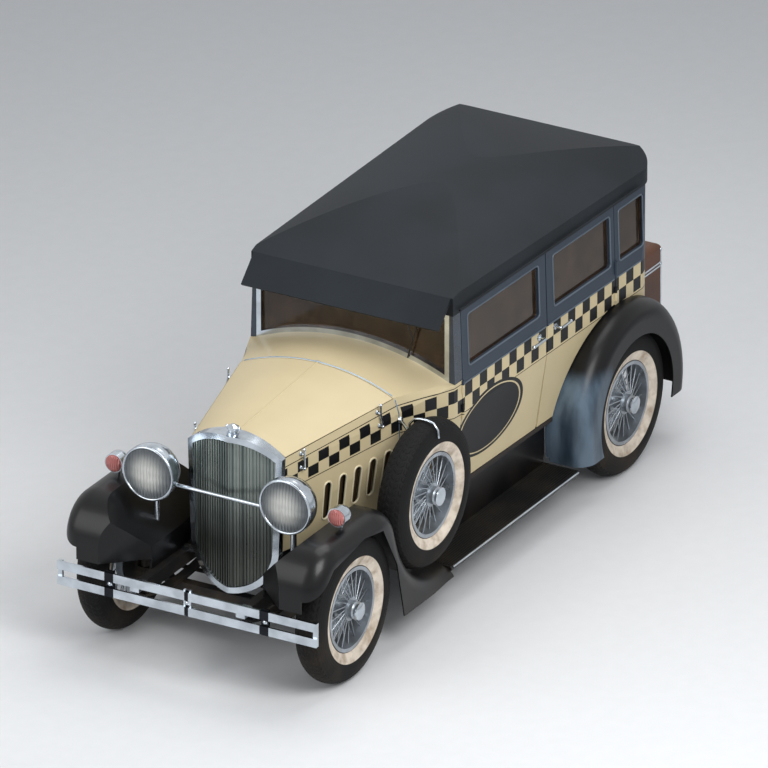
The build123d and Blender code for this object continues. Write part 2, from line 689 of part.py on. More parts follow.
def cabin_form(inset):
    """Return the cabin's form below the roof, its sides and back drawn in by an inset."""
    back_x = CABIN_BACK_X + inset
    with BuildPart() as form:
        for end_x in (CABIN_FRONT_X, CABIN_BACK_X):
            half = belt_half(end_x) - inset
            with BuildSketch(Plane.YZ.offset(end_x)):
                with BuildLine():
                    Polyline(
                        *both_sides(
                            (
                                (half - SILL_TUCK, SILL_Z),
                                (half, WAIST_Z),
                                (half, BELT_Z),
                                (half - TOP_TUCK, SIDE_TOP_Z),
                            )
                        ),
                        close=True,
                    )
                make_face()
        loft(ruled=True)
        with BuildSketch(Plane.XY.offset(SILL_Z)) as plan:
            with BuildLine():
                front_half = BELT_HALF_FRONT - inset + CORNER_EASE
                back_half = belt_half(back_x) - inset + CORNER_EASE
                Polyline(
                    (CABIN_FRONT_X, front_half),
                    (back_x, back_half),
                    (back_x, -back_half),
                    (CABIN_FRONT_X, -front_half),
                    close=True,
                )
            make_face()
            fillet(plan.vertices().group_by(Axis.X)[0], radius=REAR_CORNER_RADIUS - inset)
        extrude(amount=SIDE_TOP_Z - SILL_Z, mode=Mode.INTERSECT)
    return form.part


with BuildPart() as cabin_shell:
    add(cabin_form(0))
    add(cabin_form(WALL), mode=Mode.SUBTRACT)
    for window in (FRONT_WINDOW, REAR_WINDOW, QUARTER_WINDOW):
        add(
            rounded_window(window, (WINDOW_SILL_Z, WINDOW_TOP_Z), (-SIDE_REACH, SIDE_REACH), WINDOW_CORNER),
            mode=Mode.SUBTRACT,
        )
    add(
        block(
            (CABIN_BACK_X, CABIN_BACK_X + REAR_CORNER_RADIUS),
            (-BACK_WINDOW_HALF, BACK_WINDOW_HALF),
            BACK_WINDOW_Z,
        ),
        mode=Mode.SUBTRACT,
    )
CABIN_SHELL = cabin_shell.part

# Hinge barrels of the doors: each hinge has a middle barrel on the pillar and one on the door at each end
# Pivot columns: place along the car, place across it, heights of the hinges
FRONT_PIVOT = (CABIN_FRONT_X - PANEL_GAP / 2, BELT_HALF_FRONT + HINGE_LIFT, FRONT_HINGE_Z)
REAR_PIVOT = (REAR_DOOR_BACK_X, belt_half(REAR_DOOR_BACK_X) + HINGE_LIFT, REAR_HINGE_Z)


def hinge_barrels(pivot, on_door, radius, slack):
    """Return the barrels of a door's hinges that belong to the door or to its pillar."""
    with BuildPart() as barrels:
        for middle_z in pivot[2]:
            # Columns: from and to, in barrel lengths from the hinge's middle
            spans = ((-1.5, -0.5), (0.5, 1.5)) if on_door else ((-0.5, 0.5),)
            for low, high in spans:
                foot = (pivot[0], pivot[1], middle_z + low * HINGE_BARREL + slack)
                head = (pivot[0], pivot[1], middle_z + high * HINGE_BARREL - slack)
                add(rod(foot, head, radius))
    return barrels.part


def hinge_relief(pivot, on_door):
    """Return the space that a door or its pillar leaves for the other's barrels."""
    return hinge_barrels(pivot, not on_door, HINGE_RADIUS + HINGE_SLACK, 0)


# Door outlines: x, z corners seen from the side
DOOR_LOW_Z = SILL_Z + PANEL_GAP
DOOR_HIGH_Z = SIDE_TOP_Z - PANEL_GAP
FRONT_DOOR_OUTLINE = (
    (CABIN_FRONT_X - PANEL_GAP, DOOR_LOW_Z),
    (CABIN_FRONT_X - PANEL_GAP, DOOR_HIGH_Z),
    (B_SEAM_X + SEAM_GAP / 2, DOOR_HIGH_Z),
    (B_SEAM_X + SEAM_GAP / 2, WAIST_Z),
    (B_SEAM_X + SEAM_GAP_SILL / 2, DOOR_LOW_Z),
)
REAR_DOOR_OUTLINE = (
    (B_SEAM_X - SEAM_GAP_SILL / 2, DOOR_LOW_Z),
    (B_SEAM_X - SEAM_GAP / 2, WAIST_Z),
    (B_SEAM_X - SEAM_GAP / 2, DOOR_HIGH_Z),
    (REAR_DOOR_BACK_X + PANEL_GAP / 2, DOOR_HIGH_Z),
    (REAR_DOOR_BACK_X + PANEL_GAP / 2, DOOR_LOW_Z),
)
REAR_DOOR_CLEARANCE = 11
with BuildPart() as front_door:
    add(CABIN_SHELL)
    add(side_prism(FRONT_DOOR_OUTLINE, (0, SIDE_REACH)), mode=Mode.INTERSECT)
    add(hinge_relief(FRONT_PIVOT, True), mode=Mode.SUBTRACT)
    add(hinge_barrels(FRONT_PIVOT, True, HINGE_RADIUS, HINGE_SLACK / 2))
with BuildPart() as rear_door:
    add(CABIN_SHELL)
    add(side_prism(REAR_DOOR_OUTLINE, (0, SIDE_REACH)), mode=Mode.INTERSECT)
    add(
        cross_cylinder(REAR_AXLE_X, AXLE_Z, REAR_FENDER_RADIUS + REAR_DOOR_CLEARANCE, (0, SIDE_REACH)),
        mode=Mode.SUBTRACT,
    )
    add(hinge_relief(REAR_PIVOT, True), mode=Mode.SUBTRACT)
    add(hinge_barrels(REAR_PIVOT, True, HINGE_RADIUS, HINGE_SLACK / 2))
save("door_fl", front_door.part)
save("door_fr", other_side(front_door.part))
save("door_rl", rear_door.part)
save("door_rr", other_side(rear_door.part))

# Glass follows the cabin's sides, one layer inside the wall
with BuildPart() as glass_layer:
    add(cabin_form(GLASS_DEPTH))
    add(cabin_form(GLASS_DEPTH + GLASS_THICKNESS), mode=Mode.SUBTRACT)
GLASS_LAYER = glass_layer.part


def side_pane(window):
    """Return the pane of glass that fills one window of the left side."""
    with BuildPart() as pane:
        add(GLASS_LAYER)
        add(
            rounded_window(
                (window[0] + SEAT_GAP, window[1] - SEAT_GAP),
                (WINDOW_SILL_Z + SEAT_GAP, WINDOW_TOP_Z - SEAT_GAP),
                (0, SIDE_REACH),
                WINDOW_CORNER,
            ),
            mode=Mode.INTERSECT,
        )
    return pane.part


for place, window in (("f", FRONT_WINDOW), ("r", REAR_WINDOW)):
    pane = side_pane(window)
    save(f"glass_{place}l", pane)
    save(f"glass_{place}r", other_side(pane))

# Rear quarters with the rear corners, seated on the rear fenders
with BuildPart() as quarters:
    add(CABIN_SHELL)
    add(
        block(
            (CABIN_BACK_X, REAR_DOOR_BACK_X - PANEL_GAP / 2),
            (BACK_PANEL_HALF, SIDE_REACH),
            (SILL_Z, SIDE_TOP_Z),
        ),
        mode=Mode.INTERSECT,
    )
    add(
        cross_cylinder(REAR_AXLE_X, AXLE_Z, REAR_FENDER_RADIUS + SEAT_GAP, (0, SIDE_REACH)),
        mode=Mode.SUBTRACT,
    )
    add(hinge_relief(REAR_PIVOT, False), mode=Mode.SUBTRACT)
    add(hinge_barrels(REAR_PIVOT, False, HINGE_RADIUS, HINGE_SLACK / 2))
    mirror(about=Plane.XZ)
save("body_sides", quarters.part)

# Back panel between the rear corners
REAR_FLOOR_Z = FRAME_TOP_Z + KICKUP_RISE + FLOOR_THICKNESS
with BuildPart() as back_panel:
    add(CABIN_SHELL)
    add(
        block(
            (CABIN_BACK_X, CABIN_BACK_X + REAR_CORNER_RADIUS),
            (-BACK_PANEL_HALF, BACK_PANEL_HALF),
            (REAR_FLOOR_Z, SIDE_TOP_Z),
        ),
        mode=Mode.INTERSECT,
    )
save("back_panel", back_panel.part)

# Centre posts stand behind the meeting edges of the doors
POST_DEPTH = 36
POST_WIDTH = 70
with BuildPart() as center_posts:
    add(cabin_form(WALL + PANEL_GAP))
    add(cabin_form(WALL + PANEL_GAP + POST_DEPTH), mode=Mode.SUBTRACT)
    add(
        block(
            (B_SEAM_X - POST_WIDTH / 2, B_SEAM_X + POST_WIDTH / 2),
            (-SIDE_REACH, SIDE_REACH),
            (SILL_Z, SIDE_TOP_Z),
        ),
        mode=Mode.INTERSECT,
    )
save("center_posts", center_posts.part)

# Floor: a plate out to the sills, stepped up behind over the rear axle
STEP_X = REAR_AXLE_X + KICKUP_HALF
with BuildPart() as floor:
    with BuildSketch(Plane.XY.offset(FRAME_TOP_Z)):
        with BuildLine():
            Polyline(
                (COWL_FRONT_X, 0),
                (COWL_FRONT_X, COWL_FRONT_SILL_HALF),
                (COWL_STRAIGHT_X, BELT_HALF_FRONT - SILL_TUCK),
                (CABIN_FRONT_X, BELT_HALF_FRONT - SILL_TUCK),
                (BOARD_BACK_X, belt_half(BOARD_BACK_X) - SILL_TUCK),
                (BOARD_BACK_X, REAR_FENDER_INNER_Y),
                (REAR_AXLE_X + KICKUP_FOOT, REAR_FENDER_INNER_Y),
                (REAR_AXLE_X + KICKUP_FOOT, 0),
                close=True,
            )
        make_face()
    extrude(amount=SILL_Z - FRAME_TOP_Z)
    add(
        side_prism(
            (
                (REAR_AXLE_X + KICKUP_FOOT, FRAME_TOP_Z),
                (STEP_X, FRAME_TOP_Z + KICKUP_RISE),
                (CABIN_BACK_X, FRAME_TOP_Z + KICKUP_RISE),
                (CABIN_BACK_X, REAR_FLOOR_Z),
                (STEP_X, REAR_FLOOR_Z),
                (REAR_AXLE_X + KICKUP_FOOT, SILL_Z),
            ),
            (0, REAR_FENDER_INNER_Y),
        )
    )
    mirror(about=Plane.XZ)
save("floor", floor.part)


def roof_half(x, inset):
    """Return the roof's half width for a place along the car."""
    return belt_half(x) - TOP_TUCK + ROOF_OVERHANG - inset


def roof_plan(inset, z_range):
    """Return the roof's plan, drawn in by an inset, between two heights."""
    front_x = ROOF_FRONT_X - inset
    back_x = ROOF_BACK_X + inset
    with BuildPart() as form:
        with BuildSketch(Plane.XY.offset(z_range[0])) as plan:
            with BuildLine():
                Polyline(
                    (front_x, roof_half(front_x, inset)),
                    (back_x, roof_half(back_x, inset)),
                    (back_x, -roof_half(back_x, inset)),
                    (front_x, -roof_half(front_x, inset)),
                    close=True,
                )
            make_face()
            fillet(plan.vertices().group_by(Axis.X)[0], radius=REAR_CORNER_RADIUS - inset)
        extrude(amount=z_range[1] - z_range[0])
    return form.part


def roof_form(inset, low_z):
    """Return the roof's crowned form, drawn in by an inset, down to the given height."""
    front_x = ROOF_FRONT_X - inset
    back_x = ROOF_BACK_X + inset
    wide = BELT_HALF_BACK + ROOF_OVERHANG
    with BuildPart() as form:
        add(roof_plan(inset, (low_z, ROOF_CROWN_Z)))
        with BuildSketch(Plane.YZ.offset(back_x - wide)):
            with BuildLine():
                edge_z = ROOF_EDGE_Z - inset
                ThreePointArc((-wide, edge_z), (0, ROOF_CROWN_Z - inset), (wide, edge_z))
                Polyline((wide, edge_z), (wide, low_z), (-wide, low_z), (-wide, edge_z))
            make_face()
        extrude(amount=front_x - back_x + 2 * wide, mode=Mode.INTERSECT)
        with BuildSketch(Plane.XZ.offset(-wide)):
            with BuildLine():
                front_z = ROOF_FRONT_Z - inset
                back_z = ROOF_BACK_Z - inset
                ThreePointArc((front_x, front_z), (ROOF_CROWN_X, ROOF_CROWN_Z - inset), (back_x, back_z))
                Polyline((back_x, back_z), (back_x, low_z), (front_x, low_z), (front_x, front_z))
            make_face()
        extrude(amount=2 * wide, mode=Mode.INTERSECT)
    return form.part


# Roof: crowned shell with a flange all round that seats on the posts, the corners and the screen
ROOF_FLANGE = 112
ROOF_FLANGE_Z = SIDE_TOP_Z + 20
with BuildPart() as roof:
    add(roof_form(0, SIDE_TOP_Z))
    add(roof_form(ROOF_SKIN, ROOF_FLANGE_Z), mode=Mode.SUBTRACT)
    add(roof_plan(ROOF_FLANGE, (SIDE_TOP_Z, ROOF_FLANGE_Z)), mode=Mode.SUBTRACT)
save("roof", roof.part)

# Sun visor: a sloping plate along the roof's front edge
with BuildPart() as sun_visor:
    add(
        side_prism(
            (
                (ROOF_FRONT_X, ROOF_FRONT_Z),
                (ROOF_FRONT_X + VISOR_REACH, ROOF_FRONT_Z - VISOR_DROP - VISOR_THICKNESS),
                (
                    ROOF_FRONT_X + VISOR_REACH - VISOR_THICKNESS,
                    ROOF_FRONT_Z - VISOR_DROP - 2 * VISOR_THICKNESS,
                ),
                (ROOF_FRONT_X, ROOF_FRONT_Z - 2 * VISOR_THICKNESS),
            ),
            (-VISOR_HALF, VISOR_HALF),
        )
    )
save("sun_visor", sun_visor.part)


# Cowl: lofted from the hood's back to the windscreen, with a straight stretch under the screen posts
# Section columns: y and z of the sill, waist, belt and shoulder, then the top at the middle
COWL_FRONT_SECTION = (
    (COWL_FRONT_SILL_HALF, SILL_Z),
    (COWL_FRONT_WAIST_HALF, COWL_FRONT_WAIST_Z),
    (COWL_FRONT_BELT_HALF, COWL_FRONT_BELT_Z),
    (COWL_FRONT_SHOULDER_HALF, COWL_FRONT_SHOULDER_Z),
    (0, COWL_FRONT_TOP_Z),
)
COWL_BACK_SECTION = (
    (BELT_HALF_FRONT - SILL_TUCK, SILL_Z),
    (BELT_HALF_FRONT, WAIST_Z),
    (BELT_HALF_FRONT, BELT_Z),
    (COWL_SHOULDER_HALF, COWL_SHOULDER_Z),
    (0, COWL_TOP_Z),
)


def cowl_form(inset, front_x):
    """Return the cowl's form back to the doors, all of its outline drawn in by an inset."""
    with BuildPart() as form:
        for section_x, section in ((front_x, COWL_FRONT_SECTION), (COWL_STRAIGHT_X, COWL_BACK_SECTION)):
            left = [(y - inset, z) for y, z in section[:-2]]
            shoulder = (section[-2][0] - inset, section[-2][1] - inset)
            top = (0, section[-1][1] - inset)
            with BuildSketch(Plane.YZ.offset(section_x)):
                with BuildLine():
                    side_line = Polyline(*left, shoulder)
                    mirror(side_line, about=Plane.YZ)
                    ThreePointArc(shoulder, top, (-shoulder[0], shoulder[1]))
                    Line(left[0], (-left[0][0], left[0][1]))
                make_face()
        loft(ruled=True)
        extrude(form.faces().sort_by(Axis.X)[0], amount=COWL_STRAIGHT_X - CABIN_FRONT_X)
    return form.part


# Hood sections: circles through the shoulders and the top
def arc_radius(half, rise):
    """Return the radius of an arc of the given half width and rise."""
    return (half**2 + rise**2) / (2 * rise)


def hood_arc_point(shoulder, top_z, depth, y):
    """Return the y, z point of the hood's arc, at a depth under its skin, at a given y."""
    radius = arc_radius(shoulder[0], top_z - shoulder[1])
    return (y, top_z - radius + sqrt((radius - depth) ** 2 - y**2))


def hood_edge(shoulder, top_z, depth):
    """Return the y, z point at a depth under the shoulder, square to the hood's skin."""
    radius = arc_radius(shoulder[0], top_z - shoulder[1])
    drop = depth * sqrt(radius**2 - shoulder[0] ** 2) / radius
    return (shoulder[0] * (1 - depth / radius), shoulder[1] - drop)


HOOD_BACK_X = COWL_FRONT_X + PANEL_GAP
SHELL_BACK_X = HOOD_FRONT_X + PANEL_GAP
HOOD_ROD_DROP = HOOD_SKIN / 2
HOOD_FRONT_SHOULDER = (HOOD_FRONT_SHOULDER_HALF, HOOD_FRONT_SHOULDER_Z)
HOOD_BACK_SHOULDER = (COWL_FRONT_SHOULDER_HALF, COWL_FRONT_SHOULDER_Z)
# Section columns: the top's place along the car, the side's place, shoulder, top, then the side's belt,
# waist and bottom
HOOD_SECTIONS = (
    (
        HOOD_FRONT_X,
        SHELL_BACK_X - SEAT_GAP,
        HOOD_FRONT_SHOULDER,
        HOOD_FRONT_TOP_Z,
        (HOOD_FRONT_BELT_HALF, HOOD_FRONT_BELT_Z),
        (HOOD_FRONT_WAIST_HALF, HOOD_FRONT_WAIST_Z),
        (HOOD_FRONT_BOTTOM_HALF, HOOD_FRONT_BOTTOM_Z),
    ),
    (
        HOOD_BACK_X,
        COWL_FRONT_X + SEAT_GAP,
        HOOD_BACK_SHOULDER,
        COWL_FRONT_TOP_Z,
        (COWL_FRONT_BELT_HALF, COWL_FRONT_BELT_Z),
        (COWL_FRONT_WAIST_HALF, COWL_FRONT_WAIST_Z),
        (COWL_FRONT_SILL_HALF, HOOD_BACK_BOTTOM_Z),
    ),
)

# Cowl with its firewall, its door hinges, and the rod that the hood's tops turn on
ROD_SLOPE = (HOOD_FRONT_TOP_Z - COWL_FRONT_TOP_Z) / (HOOD_FRONT_X - HOOD_BACK_X)


def hood_rod_point(x):
    """Return the point of the hood's middle hinge line at a place along the car."""
    return (x, 0, COWL_FRONT_TOP_Z - HOOD_ROD_DROP + ROD_SLOPE * (x - HOOD_BACK_X))


with BuildPart() as cowl:
    add(cowl_form(0, COWL_FRONT_X))
    add(cowl_form(COWL_WALL, COWL_FRONT_X - FIREWALL), mode=Mode.SUBTRACT)
    add(hinge_relief(FRONT_PIVOT, False), mode=Mode.SUBTRACT)
    add(other_side(hinge_relief(FRONT_PIVOT, False)), mode=Mode.SUBTRACT)
    add(hinge_barrels(FRONT_PIVOT, False, HINGE_RADIUS, HINGE_SLACK / 2))
    add(other_side(hinge_barrels(FRONT_PIVOT, False, HINGE_RADIUS, HINGE_SLACK / 2)))
    rod_back = hood_rod_point(COWL_FRONT_X - FIREWALL / 2)
    add(rod(rod_back, hood_rod_point(SHELL_BACK_X - SEAT_GAP), HOOD_HINGE_RADIUS))
save("cowl", cowl.part)

# Hood tops, one each side of the hinge rod
with BuildPart() as hood_top:
    for top_x, side_x, shoulder, top_z, belt, waist, bottom in HOOD_SECTIONS:
        near = HOOD_HINGE_RADIUS + HINGE_SLACK
        middle = (near + shoulder[0]) / 2
        outer = [hood_arc_point(shoulder, top_z, 0, y) for y in (near, middle)] + [shoulder]
        inner = [hood_arc_point(shoulder, top_z, HOOD_SKIN, y) for y in (near, middle)]
        inner.append(hood_edge(shoulder, top_z, HOOD_SKIN))
        with BuildSketch(Plane.YZ.offset(top_x)):
            with BuildLine():
                ThreePointArc(*outer)
                Line(outer[2], inner[2])
                ThreePointArc(*inner)
                Line(inner[0], outer[0])
            make_face()
    loft(ruled=True)
save("hood_top_l", hood_top.part)
save("hood_top_r", other_side(hood_top.part))

# Hood sides are latched between the cowl and the radiator and have a row of upright louvre slots
with BuildPart() as hood_side:
    for top_x, side_x, shoulder, top_z, belt, waist, bottom in HOOD_SECTIONS:
        edge = hood_edge(shoulder, top_z, HOOD_SKIN)
        radius = arc_radius(shoulder[0], top_z - shoulder[1])
        step_y = HOOD_JOINT_GAP * sqrt(radius**2 - shoulder[0] ** 2) / radius
        step_z = -HOOD_JOINT_GAP * shoulder[0] / radius
        with BuildSketch(Plane.YZ.offset(side_x)):
            with BuildLine():
                Polyline(
                    (shoulder[0] + step_y, shoulder[1] + step_z),
                    belt,
                    waist,
                    bottom,
                    (bottom[0] - HOOD_SKIN, bottom[1]),
                    (waist[0] - HOOD_SKIN, waist[1]),
                    (belt[0] - HOOD_SKIN, belt[1]),
                    (edge[0] + step_y, edge[1] + step_z),
                    close=True,
                )
            make_face()
    loft(ruled=True)
    for index in range(LOUVRE_COUNT):
        slot_x = LOUVRE_FRONT_X - index * LOUVRE_PITCH
        slot_z = LOUVRE_FRONT_Z + index * LOUVRE_PITCH * LOUVRE_RISE
        add(
            rounded_window(
                (slot_x - LOUVRE_WIDTH / 2, slot_x + LOUVRE_WIDTH / 2),
                (slot_z - LOUVRE_HEIGHT / 2, slot_z + LOUVRE_HEIGHT / 2),
                (0, SIDE_REACH),
                LOUVRE_WIDTH / 2 - HINGE_SLACK,
            ),
            mode=Mode.SUBTRACT,
        )
save("hood_side_l", hood_side.part)
save("hood_side_r", other_side(hood_side.part))

# Windscreen frame: posts and bars between the cowl's top and the roof
SCREEN_BACK_X = CABIN_FRONT_X
SCREEN_FRONT_X = SCREEN_BACK_X + SCREEN_POST_DEPTH
SCREEN_HALF = COWL_SHOULDER_HALF - SCREEN_BAR


def screen_opening(inset, x_range):
    """Return a prism of the windscreen's opening, drawn in by an inset."""
    radius = arc_radius(COWL_SHOULDER_HALF, COWL_TOP_Z - COWL_SHOULDER_Z)
    half = SCREEN_HALF - inset
    base_z = COWL_TOP_Z - radius + sqrt(radius**2 - half**2) + SCREEN_BAR + inset
    top_z = SIDE_TOP_Z - SCREEN_BAR - inset
    with BuildPart() as opening:
        with BuildSketch(Plane.YZ.offset(x_range[0])):
            with BuildLine():
                ThreePointArc((-half, base_z), (0, COWL_TOP_Z + SCREEN_BAR + inset), (half, base_z))
                Polyline((half, base_z), (half, top_z), (-half, top_z), (-half, base_z))
            make_face()
        extrude(amount=x_range[1] - x_range[0])
    return opening.part


with BuildPart() as windshield_frame:
    with BuildSketch(Plane.YZ.offset(SCREEN_BACK_X)):
        with BuildLine():
            ThreePointArc(
                (-COWL_SHOULDER_HALF, COWL_SHOULDER_Z), (0, COWL_TOP_Z), (COWL_SHOULDER_HALF, COWL_SHOULDER_Z)
            )
            Polyline(
                (COWL_SHOULDER_HALF, COWL_SHOULDER_Z),
                (BELT_HALF_FRONT, BELT_Z),
                (BELT_HALF_FRONT - TOP_TUCK, SIDE_TOP_Z),
                (TOP_TUCK - BELT_HALF_FRONT, SIDE_TOP_Z),
                (-BELT_HALF_FRONT, BELT_Z),
                (-COWL_SHOULDER_HALF, COWL_SHOULDER_Z),
            )
        make_face()
    extrude(amount=SCREEN_POST_DEPTH)
    add(screen_opening(0, (SCREEN_BACK_X, SCREEN_FRONT_X)), mode=Mode.SUBTRACT)
save("windshield_frame", windshield_frame.part)

# Fixed glass: windscreen, rear quarter panes and back window
SCREEN_GLASS_X = SCREEN_FRONT_X - GLASS_DEPTH
with BuildPart() as window_glass:
    add(screen_opening(SEAT_GAP, (SCREEN_GLASS_X - GLASS_THICKNESS, SCREEN_GLASS_X)))
    quarter_pane = side_pane(QUARTER_WINDOW)
    add(quarter_pane)
    add(other_side(quarter_pane))
    add(
        block(
            (CABIN_BACK_X + GLASS_DEPTH, CABIN_BACK_X + GLASS_DEPTH + GLASS_THICKNESS),
            (SEAT_GAP - BACK_WINDOW_HALF, BACK_WINDOW_HALF - SEAT_GAP),
            (BACK_WINDOW_Z[0] + SEAT_GAP, BACK_WINDOW_Z[1] - SEAT_GAP),
        )
    )
save("window_glass", window_glass.part)


# Fenders: a solid form and a smaller one inside it give a crowned shell
def crown_edges(outer_side):
    """Return the edges of the front fender's outer side, apart from its bottom and its back end."""
    raised = outer_side.edges().filter_by(lambda edge: edge.bounding_box().max.Z > FENDER_LOW_Z + SEAT_GAP)
    return raised.filter_by(lambda edge: edge.bounding_box().max.X > FRONT_FENDER_BACK_X + SEAT_GAP)


FENDER_LOW_Z = 120
FRONT_FENDER_SLOPE_FOOT = (FRONT_FENDER_INNER_Y - 10, 650)
FRONT_FENDER_SLOPE_HEAD_Y = 600
FRONT_FENDER_PLAN_X = 1900
FRONT_FENDER_PLAN_Y = 560
FRONT_FENDER_HOOD_Y = 390
TAIL_SPLIT_X = 1160
FALL_RUN = FRONT_FENDER_FALL_X - FRONT_FENDER_FALL_FOOT_X
FALL_RISE = FRONT_FENDER_TOP_Z - BOARD_TOP_Z
FALL_SHIFT = (hypot(FALL_RUN, FALL_RISE) - FALL_RUN) / FALL_RISE


def front_fender_form(inset):
    """Return the front fender's form, all of its skin drawn in by an inset."""
    inner_y = FRONT_FENDER_SLOPE_FOOT[0]
    outer_y = FENDER_OUTER_Y - inset
    tip_x = FRONT_FENDER_TIP_X - inset
    top_z = FRONT_FENDER_TOP_Z - inset
    board_z = BOARD_TOP_Z - inset
    with BuildPart() as form:
        with BuildSketch(Plane.XZ.offset(-outer_y)):
            with BuildLine():
                crest = FilletPolyline(
                    (tip_x, FENDER_LOW_Z),
                    (tip_x, top_z),
                    (FRONT_FENDER_FALL_X + FALL_SHIFT * inset, top_z),
                    (FRONT_FENDER_FALL_FOOT_X + FALL_SHIFT * inset, board_z),
                    (FRONT_FENDER_BACK_X, board_z),
                    radius=[
                        FRONT_FENDER_NOSE_RADIUS - inset,
                        FRONT_FENDER_CREST_RADIUS - inset,
                        FRONT_FENDER_SWEEP_RADIUS + inset,
                    ],
                )
                Polyline(crest @ 1, (FRONT_FENDER_BACK_X, FENDER_LOW_Z), crest @ 0)
            make_face()
        extrude(amount=outer_y - inner_y - inset)
        fillet(crown_edges(form.faces().sort_by(Axis.Y)[-1]), radius=FENDER_CROWN_RADIUS - inset)
        head_y = FRONT_FENDER_SLOPE_HEAD_Y + inset
        foot_y = inner_y + inset
        slope_drop = inset * (sqrt(2) - 1)
        add(
            end_prism(
                (
                    (foot_y, FENDER_LOW_Z),
                    (foot_y, FRONT_FENDER_SLOPE_FOOT[1] - slope_drop),
                    (head_y - slope_drop, FRONT_FENDER_TOP_Z - inset),
                    (FENDER_OUTER_Y, FRONT_FENDER_TOP_Z - inset),
                    (FENDER_OUTER_Y, FENDER_LOW_Z),
                ),
                (FRONT_FENDER_BACK_X, FRONT_FENDER_TIP_X),
            ),
            mode=Mode.INTERSECT,
        )
        with BuildSketch(Plane.XY.offset(FENDER_LOW_Z)):
            with BuildLine():
                Polyline(
                    (FRONT_FENDER_BACK_X, FRONT_FENDER_HOOD_Y + inset),
                    (TAIL_SPLIT_X, FRONT_FENDER_HOOD_Y + inset),
                    (HOOD_FRONT_X, foot_y),
                    (FRONT_FENDER_PLAN_X, foot_y),
                    (FRONT_FENDER_TIP_X - inset, FRONT_FENDER_PLAN_Y + inset),
                    (FRONT_FENDER_TIP_X - inset, FENDER_OUTER_Y),
                    (FRONT_FENDER_BACK_X, FENDER_OUTER_Y),
                    close=True,
                )
            make_face()
        extrude(amount=FRONT_FENDER_TOP_Z - FENDER_LOW_Z, mode=Mode.INTERSECT)
    return form.part


FRONT_FENDER_FORM = front_fender_form(0)
SKIRT_INNER_Y = FENDER_OUTER_Y - FENDER_CROWN_RADIUS
with BuildPart() as front_fender:
    add(FRONT_FENDER_FORM)
    add(front_fender_form(FENDER_SKIN), mode=Mode.SUBTRACT)
    # Wheel opening in the outer skirt
    skirt_front_x = FRONT_SKIRT[0][0]
    skirt_back_x = FRONT_SKIRT[-1][0]
    add(
        side_prism(
            FRONT_SKIRT + ((skirt_back_x, FENDER_LOW_Z), (skirt_front_x, FENDER_LOW_Z)),
            (SKIRT_INNER_Y, FENDER_OUTER_Y + FENDER_SKIN),
        ),
        mode=Mode.SUBTRACT,
    )
    # Underside: lip in front, inner wall down to the frame, tail down to the skirt's edge
    add(
        block(
            (TAIL_SPLIT_X, FRONT_FENDER_TIP_X + FENDER_SKIN),
            (FRONT_FENDER_INNER_Y - FENDER_SKIN - RAIL_WIDTH, SKIRT_INNER_Y),
            (FENDER_LOW_Z - FENDER_SKIN, FRAME_TOP_Z),
        ),
        mode=Mode.SUBTRACT,
    )
    add(
        block(
            (FRONT_FENDER_PLAN_X, FRONT_FENDER_TIP_X + FENDER_SKIN),
            (RAIL_INNER_Y, FENDER_OUTER_Y + FENDER_SKIN),
            (FENDER_LOW_Z - FENDER_SKIN, FRONT_FENDER_LIP_Z),
        ),
        mode=Mode.SUBTRACT,
    )
    add(
        block(
            (FRONT_FENDER_BACK_X, TAIL_SPLIT_X),
            (RAIL_INNER_Y, APRON_Y + APRON_THICKNESS),
            (FENDER_LOW_Z, FRONT_FENDER_TOP_Z),
        ),
        mode=Mode.SUBTRACT,
    )
    add(
        block(
            (FRONT_FENDER_BACK_X, skirt_back_x + FENDER_SKIN),
            (RAIL_INNER_Y, FENDER_OUTER_Y + FENDER_SKIN),
            (FENDER_LOW_Z, SKIRT_BOTTOM_Z),
        ),
        mode=Mode.SUBTRACT,
    )
# The left fender has a well for the spare
with BuildPart() as front_fenders:
    add(front_fender.part)
    add(
        cross_cylinder(
            SPARE_X,
            SPARE_Z,
            TYRE_RADIUS + SEAT_GAP,
            (SPARE_Y - TYRE_WIDTH / 2 - PANEL_GAP, SPARE_Y + TYRE_WIDTH / 2 + PANEL_GAP),
        ),
        mode=Mode.SUBTRACT,
    )
    add(other_side(front_fender.part))
save("front_fenders", front_fenders.part)


def rear_fender_form(inset):
    """Return the rear fender's form, a crowned disc about the rear axle, drawn in by an inset."""
    with BuildPart() as form:
        add(
            cross_cylinder(
                REAR_AXLE_X,
                AXLE_Z,
                REAR_FENDER_RADIUS - inset,
                (REAR_FENDER_INNER_Y + inset, FENDER_OUTER_Y - inset),
            )
        )
        outer_face = form.faces().sort_by(Axis.Y)[-1]
        fillet(outer_face.edges(), radius=FENDER_CROWN_RADIUS - inset)
    return form.part


